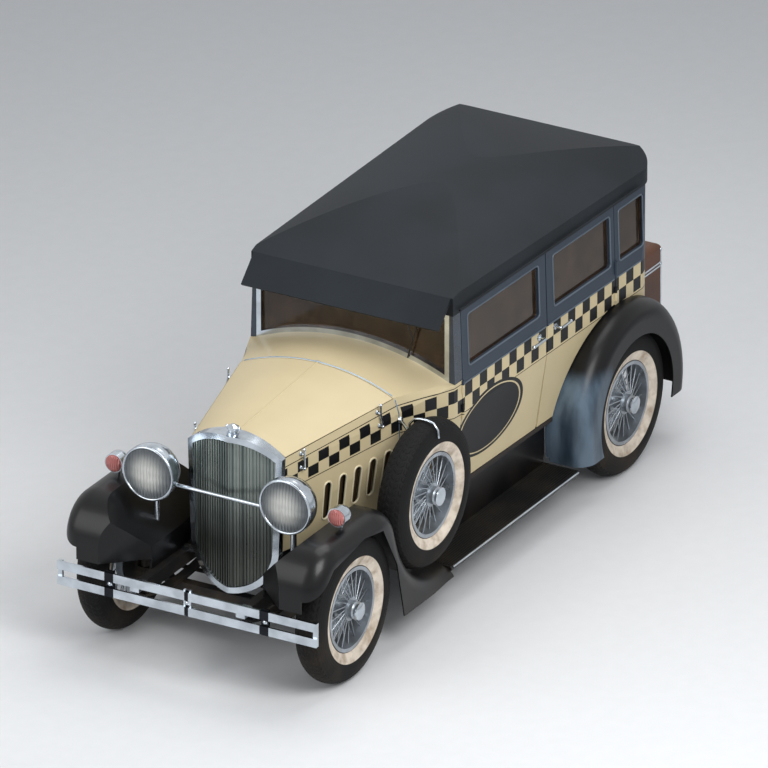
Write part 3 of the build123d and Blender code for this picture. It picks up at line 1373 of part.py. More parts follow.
REAR_FENDER_FORM = rear_fender_form(0)
FENDER_REACH = REAR_FENDER_RADIUS + FENDER_SKIN
with BuildPart() as rear_fenders:
    add(REAR_FENDER_FORM)
    add(rear_fender_form(FENDER_SKIN), mode=Mode.SUBTRACT)
    add(
        cross_cylinder(REAR_AXLE_X, AXLE_Z, REAR_ARCH_RADIUS, (SKIRT_INNER_Y, FENDER_OUTER_Y)),
        mode=Mode.SUBTRACT,
    )
    # Ends: on the running board in front, the tail behind, and the inner wall down to the frame
    fender_y = (REAR_FENDER_INNER_Y, FENDER_OUTER_Y)
    add(
        block((REAR_AXLE_X, REAR_AXLE_X + FENDER_REACH), fender_y, (AXLE_Z - FENDER_REACH, BOARD_TOP_Z)),
        mode=Mode.SUBTRACT,
    )
    add(
        block(
            (REAR_AXLE_X - FENDER_REACH, REAR_AXLE_X),
            fender_y,
            (AXLE_Z - FENDER_REACH, REAR_FENDER_TAIL_Z),
        ),
        mode=Mode.SUBTRACT,
    )
    add(
        block(
            (
                REAR_AXLE_X - REAR_FENDER_RADIUS + 2 * FENDER_SKIN,
                REAR_AXLE_X + REAR_FENDER_RADIUS - 2 * FENDER_SKIN,
            ),
            (REAR_FENDER_INNER_Y, REAR_FENDER_INNER_Y + 2 * FENDER_SKIN),
            (AXLE_Z - FENDER_REACH, FRAME_TOP_Z),
        ),
        mode=Mode.SUBTRACT,
    )
    add(
        cross_cylinder(
            REAR_AXLE_X, AXLE_Z, REAR_ARCH_RADIUS, (SKIRT_INNER_Y - 4 * FENDER_SKIN, FENDER_OUTER_Y)
        ),
        mode=Mode.SUBTRACT,
    )
    mirror(about=Plane.XZ)
save("rear_fenders", rear_fenders.part)

# Running boards with the aprons that close the gap up to the body
with BuildPart() as running_boards:
    add(
        block(
            (BOARD_BACK_X, FRONT_FENDER_BACK_X),
            (APRON_Y, BOARD_OUTER_Y),
            (BOARD_TOP_Z - BOARD_THICKNESS, BOARD_TOP_Z),
        )
    )
    fillet(running_boards.edges().filter_by(Axis.X).group_by(Axis.Y)[-1], radius=BOARD_THICKNESS / 2 - 1)
    add(
        block(
            (BOARD_BACK_X, FRONT_FENDER_BACK_X),
            (APRON_Y, APRON_Y + APRON_THICKNESS),
            (BOARD_TOP_Z - BOARD_THICKNESS, FRAME_TOP_Z),
        )
    )
    mirror(about=Plane.XZ)
save("running_boards", running_boards.part)

# Front bumper: two bars, end plates, clamps, and brackets on the frame horns
BUMPER_BACK_X = FRONT_X - BUMPER_BAR_THICKNESS
CLAMP_DEPTH = 14
END_PLATE_WIDTH = 26
BRACKET_HEIGHT = 44
with BuildPart() as front_bumper:
    for bar_z in BUMPER_BAR_Z:
        add(
            block(
                (BUMPER_BACK_X, FRONT_X),
                (-BUMPER_HALF, BUMPER_HALF),
                (bar_z - BUMPER_BAR_HEIGHT / 2, bar_z + BUMPER_BAR_HEIGHT / 2),
            )
        )
    low_z = BUMPER_BAR_Z[0] - BUMPER_BAR_HEIGHT / 2
    high_z = BUMPER_BAR_Z[1] + BUMPER_BAR_HEIGHT / 2
    for side in (1, -1):
        add(
            block(
                (BUMPER_BACK_X - CLAMP_DEPTH, BUMPER_BACK_X),
                (side * (BUMPER_HALF - END_PLATE_WIDTH), side * BUMPER_HALF),
                (low_z, high_z),
            )
        )
        add(
            block(
                (HORN_FRONT_X, BUMPER_BACK_X),
                (side * RAIL_INNER_Y, side * RAIL_OUTER_Y),
                (FRAME_TOP_Z - BRACKET_HEIGHT, FRAME_TOP_Z),
            )
        )
    for clamp_y in (-BUMPER_CLAMP_Y[1], BUMPER_CLAMP_Y[0], BUMPER_CLAMP_Y[1]):
        add(
            block(
                (BUMPER_BACK_X - CLAMP_DEPTH, BUMPER_BACK_X),
                (clamp_y - BUMPER_CLAMP_WIDTH / 2, clamp_y + BUMPER_CLAMP_WIDTH / 2),
                BUMPER_CLAMP_Z,
            )
        )
save("front_bumper", front_bumper.part)


# Radiator: a bright shell with a pointed front, and a grille of upright bars set back inside it
def shell_outline(inset, x_range):
    """Return a prism of the radiator's front outline, drawn in by an inset."""
    shoulder = (SHELL_SHOULDER_HALF - inset, SHELL_SHOULDER_Z - inset / 2)
    low = (SHELL_LOW_HALF - inset, SHELL_LOW_Z)
    with BuildPart() as form:
        with BuildSketch(Plane.YZ.offset(x_range[0])):
            with BuildLine():
                ThreePointArc(shoulder, (0, SHELL_TOP_Z - inset), (-shoulder[0], shoulder[1]))
                Line((-shoulder[0], shoulder[1]), (-low[0], low[1]))
                ThreePointArc((-low[0], low[1]), (0, SHELL_BOTTOM_Z + inset), low)
                Line(low, shoulder)
            make_face()
        extrude(amount=x_range[1] - x_range[0])
    return form.part


def pointed_band(setback, depth):
    """Return an upright band with the shell's pointed plan, set back from its front."""
    wide = SHELL_SHOULDER_HALF + SHELL_RIM
    fall = (SHELL_NOSE_X - SHELL_SIDE_X) * wide / SHELL_SHOULDER_HALF
    nose_x = SHELL_NOSE_X - setback
    with BuildPart() as band:
        with BuildSketch(Plane.XY.offset(SHELL_BOTTOM_Z)):
            with BuildLine():
                Polyline(
                    (nose_x - fall, wide),
                    (nose_x, 0),
                    (nose_x - fall, -wide),
                    (nose_x - fall - depth, -wide),
                    (nose_x - depth, 0),
                    (nose_x - fall - depth, wide),
                    close=True,
                )
            make_face()
        extrude(amount=SHELL_TOP_Z - SHELL_BOTTOM_Z)
    return band.part


SHELL_RANGE = (SHELL_BACK_X, SHELL_NOSE_X)
SHELL_DEPTH = SHELL_NOSE_X - SHELL_BACK_X
FOOT_SIZE = 44
FOOT_INNER_Y = 215
with BuildPart() as radiator_shell:
    add(pointed_band(0, SHELL_DEPTH))
    add(shell_outline(0, SHELL_RANGE), mode=Mode.INTERSECT)
    add(shell_outline(SHELL_RIM, SHELL_RANGE), mode=Mode.SUBTRACT)
    for side in (1, -1):
        add(
            block(
                (SHELL_BACK_X, SHELL_BACK_X + FOOT_SIZE),
                (side * FOOT_INNER_Y, side * RAIL_Y),
                (FRAME_TOP_Z, FRAME_TOP_Z + FOOT_SIZE / 2),
            )
        )
save("radiator_shell", radiator_shell.part)

GRILLE_BARS = int((SHELL_SHOULDER_HALF - SHELL_RIM) / GRILLE_PITCH)
with BuildPart() as radiator_grille:
    add(pointed_band(GRILLE_SETBACK, GRILLE_CORE))
    for index in range(-GRILLE_BARS, GRILLE_BARS + 1):
        bar_y = index * GRILLE_PITCH
        lean = (SHELL_NOSE_X - SHELL_SIDE_X) * abs(bar_y) / SHELL_SHOULDER_HALF
        face_x = SHELL_NOSE_X - GRILLE_SETBACK - lean
        add(
            block(
                (face_x - GRILLE_CORE, face_x + GRILLE_BAR),
                (bar_y - GRILLE_BAR / 2, bar_y + GRILLE_BAR / 2),
                (SHELL_BOTTOM_Z, SHELL_TOP_Z),
            )
        )
    add(shell_outline(SHELL_RIM + 3 * SEAT_GAP, SHELL_RANGE), mode=Mode.INTERSECT)
save("radiator_grille", radiator_grille.part)


# Lamps are turned about their own axis, which lies along the car
def turned_along_x(points, pole_x, centre):
    """Return a solid turned about the X axis through a centre: x, r points, then a round end to a pole."""
    edge_x, edge_r = points[-1]
    rise = pole_x - edge_x
    radius = arc_radius(edge_r, rise)
    half_turn = atan2(edge_r, radius - rise) / 2
    middle = (pole_x - radius * (1 - cos(half_turn)), abs(radius) * abs(sin(half_turn)))
    with BuildPart() as form:
        with BuildSketch(Plane.XY):
            with BuildLine():
                Polyline(*points)
                ThreePointArc(points[-1], middle, (pole_x, 0))
                if points[0][0] != pole_x:
                    Line((pole_x, 0), points[0])
            make_face()
        revolve(axis=Axis.X)
    return form.part.moved(Location(centre))


LAMP_RIM = 22
LENS_SEAT = 8
POST_X = HEADLAMP_X - HEADLAMP_DEPTH / 2
POST_TOP_Z = HEADLAMP_Z - HEADLAMP_RADIUS / 2
with BuildPart() as headlamps:
    bowl = turned_along_x(
        (
            (-HEADLAMP_DEPTH, 0),
            (-LENS_SEAT, 0),
            (-LENS_SEAT, LENS_RADIUS),
            (0, LENS_RADIUS),
            (0, HEADLAMP_RADIUS),
            (-LAMP_RIM, HEADLAMP_RADIUS),
        ),
        -HEADLAMP_DEPTH,
        (HEADLAMP_X, HEADLAMP_Y, HEADLAMP_Z),
    )
    add(bowl)
    add(rod((POST_X, HEADLAMP_Y, FRAME_TOP_Z), (POST_X, HEADLAMP_Y, POST_TOP_Z), LAMP_POST_RADIUS))
    add(FRONT_FENDER_FORM, mode=Mode.SUBTRACT)
    mirror(about=Plane.XZ)
    add(rod((POST_X, -HEADLAMP_Y, LAMP_BAR_Z),
            (POST_X, HEADLAMP_Y, LAMP_BAR_Z), LAMP_BAR_RADIUS))
save("headlamps", headlamps.part)

with BuildPart() as headlamp_lenses:
    lens_back = SEAT_GAP - LENS_SEAT
    add(
        turned_along_x(
            ((lens_back, 0), (lens_back, LENS_RADIUS - SEAT_GAP), (0, LENS_RADIUS - SEAT_GAP)),
            LENS_BULGE,
            (HEADLAMP_X, HEADLAMP_Y, HEADLAMP_Z),
        )
    )
    mirror(about=Plane.XZ)
save("headlamp_lenses", headlamp_lenses.part)

# Small lamps: one on each front fender, one behind each rear fender
SMALL_POST_RADIUS = 10
with BuildPart() as marker_lamps:
    add(
        turned_along_x(
            (
                (-MARKER_LENGTH / 2, 0),
                (MARKER_LENGTH / 2, 0),
                (MARKER_LENGTH / 2, MARKER_RADIUS),
                (0, MARKER_RADIUS),
            ),
            -MARKER_LENGTH / 2,
            (MARKER_X, MARKER_Y, MARKER_Z),
        )
    )
    add(rod((MARKER_X, MARKER_Y, FRAME_TOP_Z), (MARKER_X, MARKER_Y, MARKER_Z), SMALL_POST_RADIUS))
    add(FRONT_FENDER_FORM, mode=Mode.SUBTRACT)
    tail_length = MARKER_LENGTH / 2
    add(
        turned_along_x(
            (
                (tail_length / 2, 0),
                (-tail_length / 2, 0),
                (-tail_length / 2, TAIL_LAMP_RADIUS),
                (0, TAIL_LAMP_RADIUS),
            ),
            tail_length / 2,
            (TAIL_LAMP_X, TAIL_LAMP_Y, TAIL_LAMP_Z),
        )
    )
    tail_foot = (REAR_AXLE_X, TAIL_LAMP_Y, TAIL_LAMP_Z)
    add(rod((TAIL_LAMP_X, TAIL_LAMP_Y, TAIL_LAMP_Z), tail_foot, SMALL_POST_RADIUS))
    add(REAR_FENDER_FORM, mode=Mode.SUBTRACT)
    mirror(about=Plane.XZ)
save("marker_lamps", marker_lamps.part)

# Trunk: an open box whose front plate carries the lid's hinges
TRUNK_PLATE_X = TRUNK_FRONT_X - TRUNK_WALL
TRUNK_FLOOR_Z = TRUNK_BOTTOM_Z + TRUNK_WALL
LID_GAP = 0.5
LID_FRONT_X = TRUNK_PLATE_X - LID_GAP
LID_BARREL_RADIUS = 7
LID_BARREL_HALF = 35
LID_BARREL_Y = TRUNK_HALF * 0.7
LID_BARREL_GAP = 1


def lid_barrel(barrel_y, gap):
    """Return a hinge barrel of the lid round the hinge line, grown by a gap."""
    reach = LID_BARREL_HALF + gap
    start = (LID_FRONT_X, barrel_y - reach, TRUNK_TOP_Z)
    return rod(start, (LID_FRONT_X, barrel_y + reach, TRUNK_TOP_Z), LID_BARREL_RADIUS + gap)


with BuildPart() as trunk_body:
    add(block((TRUNK_BACK_X, TRUNK_FRONT_X), (-TRUNK_HALF, TRUNK_HALF), (TRUNK_BOTTOM_Z, TRUNK_SEAM_Z)))
    add(
        block(
            (TRUNK_BACK_X + TRUNK_WALL, TRUNK_PLATE_X),
            (TRUNK_WALL - TRUNK_HALF, TRUNK_HALF - TRUNK_WALL),
            (TRUNK_FLOOR_Z, TRUNK_SEAM_Z),
        ),
        mode=Mode.SUBTRACT,
    )
    add(block((TRUNK_PLATE_X, TRUNK_FRONT_X), (-TRUNK_HALF, TRUNK_HALF), (TRUNK_SEAM_Z, TRUNK_TOP_Z)))
    for barrel_y in (LID_BARREL_Y, -LID_BARREL_Y):
        add(lid_barrel(barrel_y, LID_BARREL_GAP), mode=Mode.SUBTRACT)
save("trunk_body", trunk_body.part)

# Trunk lid: rounded at its back and ends, hollow from below, with two hinge barrels
with BuildPart() as trunk_lid:
    add(block((TRUNK_BACK_X, LID_FRONT_X), (-TRUNK_HALF, TRUNK_HALF), (TRUNK_SEAM_Z + LID_GAP, TRUNK_TOP_Z)))
    top_edges = trunk_lid.faces().sort_by(Axis.Z)[-1].edges()
    fillet(top_edges.sort_by(Axis.X)[:-1], radius=TRUNK_EDGE_RADIUS)
    add(
        block(
            (TRUNK_BACK_X + TRUNK_WALL, LID_FRONT_X - TRUNK_WALL),
            (TRUNK_WALL - TRUNK_HALF, TRUNK_HALF - TRUNK_WALL),
            (TRUNK_SEAM_Z + LID_GAP, TRUNK_TOP_Z - TRUNK_EDGE_RADIUS),
        ),
        mode=Mode.SUBTRACT,
    )
    for barrel_y in (LID_BARREL_Y, -LID_BARREL_Y):
        add(lid_barrel(barrel_y, 0))
save("trunk_lid", trunk_lid.part)

# Trunk rack: slats under the trunk on two bearers that stand on the frame's ends
RACK_SLATS = 5
RACK_BEARER_Z = TRUNK_BOTTOM_Z - RACK_BAR
with BuildPart() as trunk_rack:
    slat_pitch = (TRUNK_FRONT_X - BACK_X - RACK_BAR) / (RACK_SLATS - 1)
    for index in range(RACK_SLATS):
        slat_x = BACK_X + index * slat_pitch
        add(block((slat_x, slat_x + RACK_BAR), (-TRUNK_HALF, TRUNK_HALF), (RACK_BEARER_Z, TRUNK_BOTTOM_Z)))
    for side in (1, -1):
        rail_y = (side * RAIL_INNER_Y, side * RAIL_OUTER_Y)
        add(block((BACK_X, TRUNK_FRONT_X), rail_y, (RACK_BEARER_Z, TRUNK_BOTTOM_Z)))
        for leg_x in (FRAME_BACK_X + RACK_BAR, CABIN_BACK_X - 2 * RACK_BAR):
            add(block((leg_x - RACK_BAR, leg_x + RACK_BAR), rail_y, (FRAME_TOP_Z, RACK_BEARER_Z)))
save("trunk_rack", trunk_rack.part)


# Seats: plain benches with leaning backs
def bench(x_range, half, floor_z, top_z):
    """Return a bench seat that stands on the floor, its back leaning rearward."""
    back_x, front_x = x_range
    seat_x = back_x + SEAT_BACK_DEPTH
    return side_prism(
        (
            (back_x, floor_z),
            (front_x, floor_z),
            (front_x, SEAT_CUSHION_Z),
            (seat_x, SEAT_CUSHION_Z),
            (seat_x - SEAT_RAKE, top_z),
            (back_x - SEAT_RAKE, top_z),
            (back_x - SEAT_RAKE, top_z - SEAT_BACK_DEPTH),
        ),
        (-half, half),
    )


save("front_seat", bench(FRONT_SEAT_X, SEAT_HALF, SILL_Z, SEAT_BACK_Z))
save("rear_seat", bench(REAR_SEAT_X, REAR_SEAT_HALF, REAR_FLOOR_Z, SEAT_BACK_Z + SEAT_RAKE))

# Driver's controls: steering wheel on its raked column, gear and brake levers, and pedals
STEERING_SPOKES = 4
SPOKE_BAR_RADIUS = 8
LEVER_RADIUS = 7
KNOB_RADIUS = 20
GEAR_LEVER_FOOT = (300, 40, SILL_Z)
GEAR_LEVER_HEAD = (190, 40, 900)
BRAKE_LEVER_FOOT = (240, -60, SILL_Z)
BRAKE_LEVER_HEAD = (190, -60, 880)
PEDAL_Y = (220, 310, 400)
PEDAL_X = 560
PEDAL_Z = 650
PEDAL_SIZE = 64
FIREWALL_BACK_X = COWL_FRONT_X - FIREWALL
column_run = FIREWALL_BACK_X - STEERING_WHEEL[0]
column_foot = (
    FIREWALL_BACK_X + COLUMN_RADIUS,
    STEERING_WHEEL[1],
    STEERING_WHEEL[2] - (column_run + COLUMN_RADIUS) * tan(radians(STEERING_RAKE)),
)
column_direction = Vector(*column_foot) - Vector(*STEERING_WHEEL)
wheel_plane = Plane(origin=STEERING_WHEEL, x_dir=(0, 1, 0), z_dir=column_direction)
with BuildPart() as driving_controls:
    with Locations(wheel_plane.location):
        Torus(STEERING_WHEEL_RADIUS, STEERING_RIM_RADIUS)
        Sphere(2 * COLUMN_RADIUS)
    for index in range(STEERING_SPOKES):
        turn = pi / 4 + 2 * pi * index / STEERING_SPOKES
        rim_point = wheel_plane.from_local_coords(
            (STEERING_WHEEL_RADIUS * cos(turn), STEERING_WHEEL_RADIUS * sin(turn), 0)
        )
        add(rod(STEERING_WHEEL, tuple(rim_point), SPOKE_BAR_RADIUS))
    add(rod(STEERING_WHEEL, column_foot, COLUMN_RADIUS))
    for foot, head in ((GEAR_LEVER_FOOT, GEAR_LEVER_HEAD), (BRAKE_LEVER_FOOT, BRAKE_LEVER_HEAD)):
        below = (foot[0], foot[1], foot[2] - KNOB_RADIUS)
        add(rod(below, foot, 2 * LEVER_RADIUS))
        add(rod(foot, head, LEVER_RADIUS))
        with Locations([head]):
            Sphere(KNOB_RADIUS)
    for pedal_y in PEDAL_Y:
        add(
            block(
                (PEDAL_X - LEVER_RADIUS, PEDAL_X + LEVER_RADIUS),
                (pedal_y - PEDAL_SIZE / 2, pedal_y + PEDAL_SIZE / 2),
                (PEDAL_Z - PEDAL_SIZE / 2, PEDAL_Z + PEDAL_SIZE / 2),
            )
        )
        pedal_foot = (FIREWALL_BACK_X + LEVER_RADIUS, pedal_y, PEDAL_Z)
        add(rod((PEDAL_X, pedal_y, PEDAL_Z), pedal_foot, LEVER_RADIUS))
    add(
        block((FIREWALL_BACK_X, COWL_FRONT_X), (0, SIDE_REACH), (FRAME_TOP_Z, COWL_TOP_Z)),
        mode=Mode.SUBTRACT,
    )
    add(
        block((-SIDE_REACH, COWL_FRONT_X), (-SIDE_REACH, SIDE_REACH), (FRAME_TOP_Z - KNOB_RADIUS, SILL_Z)),
        mode=Mode.SUBTRACT,
    )
save("driving_controls", driving_controls.part)
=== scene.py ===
"""Dress the taxi cab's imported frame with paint, glass, trim and seats, and set it in a plain studio."""

import json
import logging
import math
from collections.abc import Callable, Iterable, Sequence
from dataclasses import dataclass
from enum import Enum

import bmesh
import bpy
from mathutils import Matrix, Vector

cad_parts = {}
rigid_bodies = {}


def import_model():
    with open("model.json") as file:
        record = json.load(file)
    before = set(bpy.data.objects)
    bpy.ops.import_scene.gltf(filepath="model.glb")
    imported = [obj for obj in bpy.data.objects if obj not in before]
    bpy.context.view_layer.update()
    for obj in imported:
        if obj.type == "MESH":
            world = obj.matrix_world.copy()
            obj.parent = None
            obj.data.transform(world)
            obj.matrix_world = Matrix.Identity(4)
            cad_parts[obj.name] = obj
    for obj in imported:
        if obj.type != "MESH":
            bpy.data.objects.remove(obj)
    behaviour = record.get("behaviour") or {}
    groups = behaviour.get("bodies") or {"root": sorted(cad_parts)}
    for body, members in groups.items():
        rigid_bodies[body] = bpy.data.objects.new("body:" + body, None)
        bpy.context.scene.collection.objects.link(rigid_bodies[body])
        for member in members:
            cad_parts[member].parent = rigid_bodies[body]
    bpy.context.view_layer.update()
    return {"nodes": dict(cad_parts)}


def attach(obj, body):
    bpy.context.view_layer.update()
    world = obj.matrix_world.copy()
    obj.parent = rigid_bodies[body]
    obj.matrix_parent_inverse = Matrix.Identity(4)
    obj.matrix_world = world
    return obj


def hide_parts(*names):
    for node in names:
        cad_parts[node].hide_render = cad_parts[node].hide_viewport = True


LOG = logging.getLogger("taxi_cab")
SIDES = (("l", 1), ("r", -1))
Point = Sequence[float]
Colour = tuple[float, float, float, float]


def srgb(red: int, green: int, blue: int) -> Colour:
    """Turn a display colour into the linear one that a shader takes.

    Args:
        red, green, blue: Display values from 0 to 255.

    Returns:
        The linear colour with full alpha.
    """
    linear = [((v / 255 + 0.055) / 1.055) ** 2.4 if v > 10 else v / 255 / 12.92 for v in (red, green, blue)]
    return (linear[0], linear[1], linear[2], 1.0)


CREAM = srgb(207, 191, 153)
BELT_BLACK = srgb(16, 16, 18)
SURROUND = srgb(50, 60, 72)
ROAD_DUST = srgb(112, 96, 76)
BLACK = (0.0, 0.0, 0.0, 1.0)
SHADE_SPAN = (0.3, 0.7)
ROUGH_SWING = 0.16
DUST_ROUGHNESS = 0.5


class Wiring:
    """A short way to add and join the nodes of one tree."""

    def __init__(self, tree: bpy.types.NodeTree) -> None:
        """Keep the tree that the nodes go into."""
        self.tree = tree

    def node(self, kind: str, **settings: object) -> bpy.types.Node:
        """Add a node of a kind and set its properties.

        Args:
            kind: The node's type.
            settings: Its properties by name.

        Returns:
            The node.
        """
        made = self.tree.nodes.new(kind)
        for key, value in settings.items():
            setattr(made, key, value)
        return made

    def feed(self, socket: bpy.types.NodeSocket, value: object) -> None:
        """Join a socket to another one, or give it a plain value.

        Args:
            socket: The socket to fill.
            value: A socket to link from, or a plain value.
        """
        if isinstance(value, bpy.types.NodeSocket):
            self.tree.links.new(value, socket)
        else:
            socket.default_value = value

    def fill(self, node: bpy.types.Node, values: dict) -> bpy.types.Node:
        """Feed several inputs of a node.

        Args:
            node: The node.
            values: A socket or plain value for each input's name or index.

        Returns:
            The node.
        """
        for key, value in values.items():
            self.feed(node.inputs[key], value)
        return node

    def calc(self, operation: str, *values: object) -> bpy.types.NodeSocket:
        """Return the result of one math step on sockets or numbers."""
        step = self.node("ShaderNodeMath", operation=operation)
        return self.fill(step, dict(enumerate(values))).outputs[0]

    def blend(self, share: object, first: object, second: object) -> bpy.types.NodeSocket:
        """Return a colour between two others: the first at a share of 0, the second at 1."""
        mix = self.node("ShaderNodeMix", data_type="RGBA")
        return self.fill(mix, {0: share, 6: first, 7: second}).outputs[2]

    def span(self, value: object, low: float, high: float) -> bpy.types.NodeSocket:
        """Return 0 at low, 1 at high, and a smooth change between them."""
        ramp = self.node("ShaderNodeMapRange", interpolation_type="SMOOTHSTEP")
        return self.fill(ramp, {0: value, 1: low, 2: high}).outputs[0]

    def place(self, centre: Point = (0, 0, 0), scale: Point = (1, 1, 1)) -> bpy.types.NodeSocket:
        """Return object coordinates measured from a centre and stretched along the axes.

        Args:
            centre: The point that becomes zero.
            scale: The stretch along each axis.

        Returns:
            The coordinates.
        """
        values = {
            "Location": [-c * s for c, s in zip(centre, scale)],
            "Scale": list(scale),
            "Vector": self.node("ShaderNodeTexCoord").outputs["Object"],
        }
        return self.fill(self.node("ShaderNodeMapping"), values).outputs[0]

    def split(self, vector: bpy.types.NodeSocket) -> list[bpy.types.NodeSocket]:
        """Return the x, y and z of a vector."""
        return list(self.fill(self.node("ShaderNodeSeparateXYZ"), {0: vector}).outputs)

    def reach(self, first: object, second: object) -> bpy.types.NodeSocket:
        """Return the length of a flat arrow from its two parts."""
        squares = [self.calc("MULTIPLY", value, value) for value in (first, second)]
        return self.calc("SQRT", self.calc("ADD", *squares))

    def noise(self, vector: object, scale: object, detail: float = 4) -> bpy.types.NodeSocket:
        """Return a cloudy value from 0 to 1."""
        values = {"Vector": vector, "Scale": scale, "Detail": detail}
        return self.fill(self.node("ShaderNodeTexNoise"), values).outputs[0]

    def bump(self, height: object, strength: float, distance: float = 0.002) -> bpy.types.NodeSocket:
        """Return a normal that follows a height."""
        values = {"Height": height, "Strength": strength, "Distance": distance}
        return self.fill(self.node("ShaderNodeBump"), values).outputs[0]


class Grain(Enum):
    """The fine surface that a finish has."""

    PAINT = "paint_grain"
    METAL = "metal_grain"
    HIDE = "hide_grain"
    CAST = "cast_grain"
    CANVAS = "canvas_grain"


class Effects:
    """Shader groups that many finishes share: a grain for each kind of surface, and road dust."""

    WIPE_STRETCH = (6, 40, 220)
    PEBBLE_EDGE = (0.0, 0.25)
    DUST_RISE = (0.15, 1.0)
    DUST_SCALE = 6.0
    DUST_EDGE = (0.35, 0.75)

    def __init__(self) -> None:
        """Build each group once."""
        rules = {
            Grain.PAINT: self._paint,
            Grain.METAL: self._metal,
            Grain.HIDE: self._hide,
            Grain.CAST: self._cast,
            Grain.CANVAS: self._canvas,
        }
        self.grains = {grain: self._grain(grain, rule) for grain, rule in rules.items()}
        self.dust = self._dust()

    @staticmethod
    def _group(name: str, inputs: Iterable[tuple[str, float]], outputs: Iterable[str]) -> bpy.types.NodeTree:
        """Make an empty group with named number sockets.

        Args:
            name: The group's name.
            inputs: Each input's label and value.
            outputs: Each output's label.

        Returns:
            The empty group.
        """
        tree = bpy.data.node_groups.new(name, "ShaderNodeTree")
        for label, value in inputs:
            socket = tree.interface.new_socket(label, in_out="INPUT", socket_type="NodeSocketFloat")
            socket.default_value = value
        for label in outputs:
            tree.interface.new_socket(label, in_out="OUTPUT", socket_type="NodeSocketFloat")
        return tree

    def _grain(self, grain: Grain, rule: Callable) -> bpy.types.NodeTree:
        """Make a grain's group from a rule that gives its shade and height.

        Args:
            grain: Which grain it is.
            rule: Takes the wiring, the place and the scale socket, and returns shade and height.

        Returns:
            The group, with Shade and Height going from 0 to 1.
        """
        tree = self._group(grain.value, (("Scale", 1.0),), ("Shade", "Height"))
        wiring = Wiring(tree)
        scale = wiring.node("NodeGroupInput").outputs["Scale"]
        shade, height = rule(wiring, wiring.place(), scale)
        wiring.fill(wiring.node("NodeGroupOutput"), {"Shade": shade, "Height": height})
        return tree

    @staticmethod
    def _paint(wiring: Wiring, place: object, scale: object) -> tuple:
        """Wide tone changes and a faint orange peel."""
        shade = wiring.noise(place, wiring.calc("MULTIPLY", scale, 2.2), 5)
        return shade, wiring.noise(place, wiring.calc("MULTIPLY", scale, 160), 2)

    @staticmethod
    def _metal(wiring: Wiring, place: object, scale: object) -> tuple:
        """Smudges and hair-fine wiping marks.

        Args:
            wiring: Adds the nodes.
            place: The coordinates.
            scale: The scale socket.

        Returns:
            Shade and height, from 0 to 1.
        """
        shade = wiring.noise(place, wiring.calc("MULTIPLY", scale, 9), 6)
        fine = wiring.noise(wiring.place(scale=Effects.WIPE_STRETCH), wiring.calc("MULTIPLY", scale, 3), 3)
        return shade, fine

    @staticmethod
    def _hide(wiring: Wiring, place: object, scale: object) -> tuple:
        """Pebbled leather with worn and dark places.

        Args:
            wiring: Adds the nodes.
            place: The coordinates.
            scale: The scale socket.

        Returns:
            Shade and height, from 0 to 1.
        """
        cells = wiring.node("ShaderNodeTexVoronoi", feature="DISTANCE_TO_EDGE")
        wiring.fill(cells, {"Vector": place, "Scale": wiring.calc("MULTIPLY", scale, 260)})
        pebble = wiring.span(cells.outputs["Distance"], *Effects.PEBBLE_EDGE)
        return wiring.noise(place, wiring.calc("MULTIPLY", scale, 7), 6), pebble

    @staticmethod
    def _cast(wiring: Wiring, place: object, scale: object) -> tuple:
        """Sand-cast roughness with rusty patches."""
        shade = wiring.noise(place, wiring.calc("MULTIPLY", scale, 11), 8)
        return shade, wiring.noise(place, wiring.calc("MULTIPLY", scale, 420), 3)

    @staticmethod
    def _canvas(wiring: Wiring, place: object, scale: object) -> tuple:
        """A coated cloth: a fine weave under broad faded patches.

        Args:
            wiring: Adds the nodes.
            place: The coordinates.
            scale: The scale socket.

        Returns:
            Shade and height, from 0 to 1.
        """
        weave = []
        for axis in ("X", "Y"):
            wave = wiring.node("ShaderNodeTexWave", bands_direction=axis)
            wiring.fill(wave, {"Vector": place, "Scale": wiring.calc("MULTIPLY", scale, 130)})
            weave.append(wave.outputs["Fac"])
        return wiring.noise(place, wiring.calc("MULTIPLY", scale, 1.6), 6), wiring.calc("MULTIPLY", *weave)

    def _dust(self) -> bpy.types.NodeTree:
        """Road dust that thickens towards the ground.

        Returns:
            The group, with a Mask from 0 to 1.
        """
        tree = self._group("road_dust", (("Amount", 0.3), ("Height", 0.7)), ("Mask",))
        wiring = Wiring(tree)
        given = wiring.node("NodeGroupInput").outputs
        place = wiring.place()
        share = wiring.calc("DIVIDE", wiring.split(place)[2], given["Height"])
        low = wiring.calc("SUBTRACT", 1.0, wiring.span(share, *self.DUST_RISE))
        cloud = wiring.span(wiring.noise(place, self.DUST_SCALE, 8), *self.DUST_EDGE)
        mask = wiring.calc("MULTIPLY", wiring.calc("MULTIPLY", low, cloud), given["Amount"])
        wiring.fill(wiring.node("NodeGroupOutput"), {"Mask": mask})
        return tree


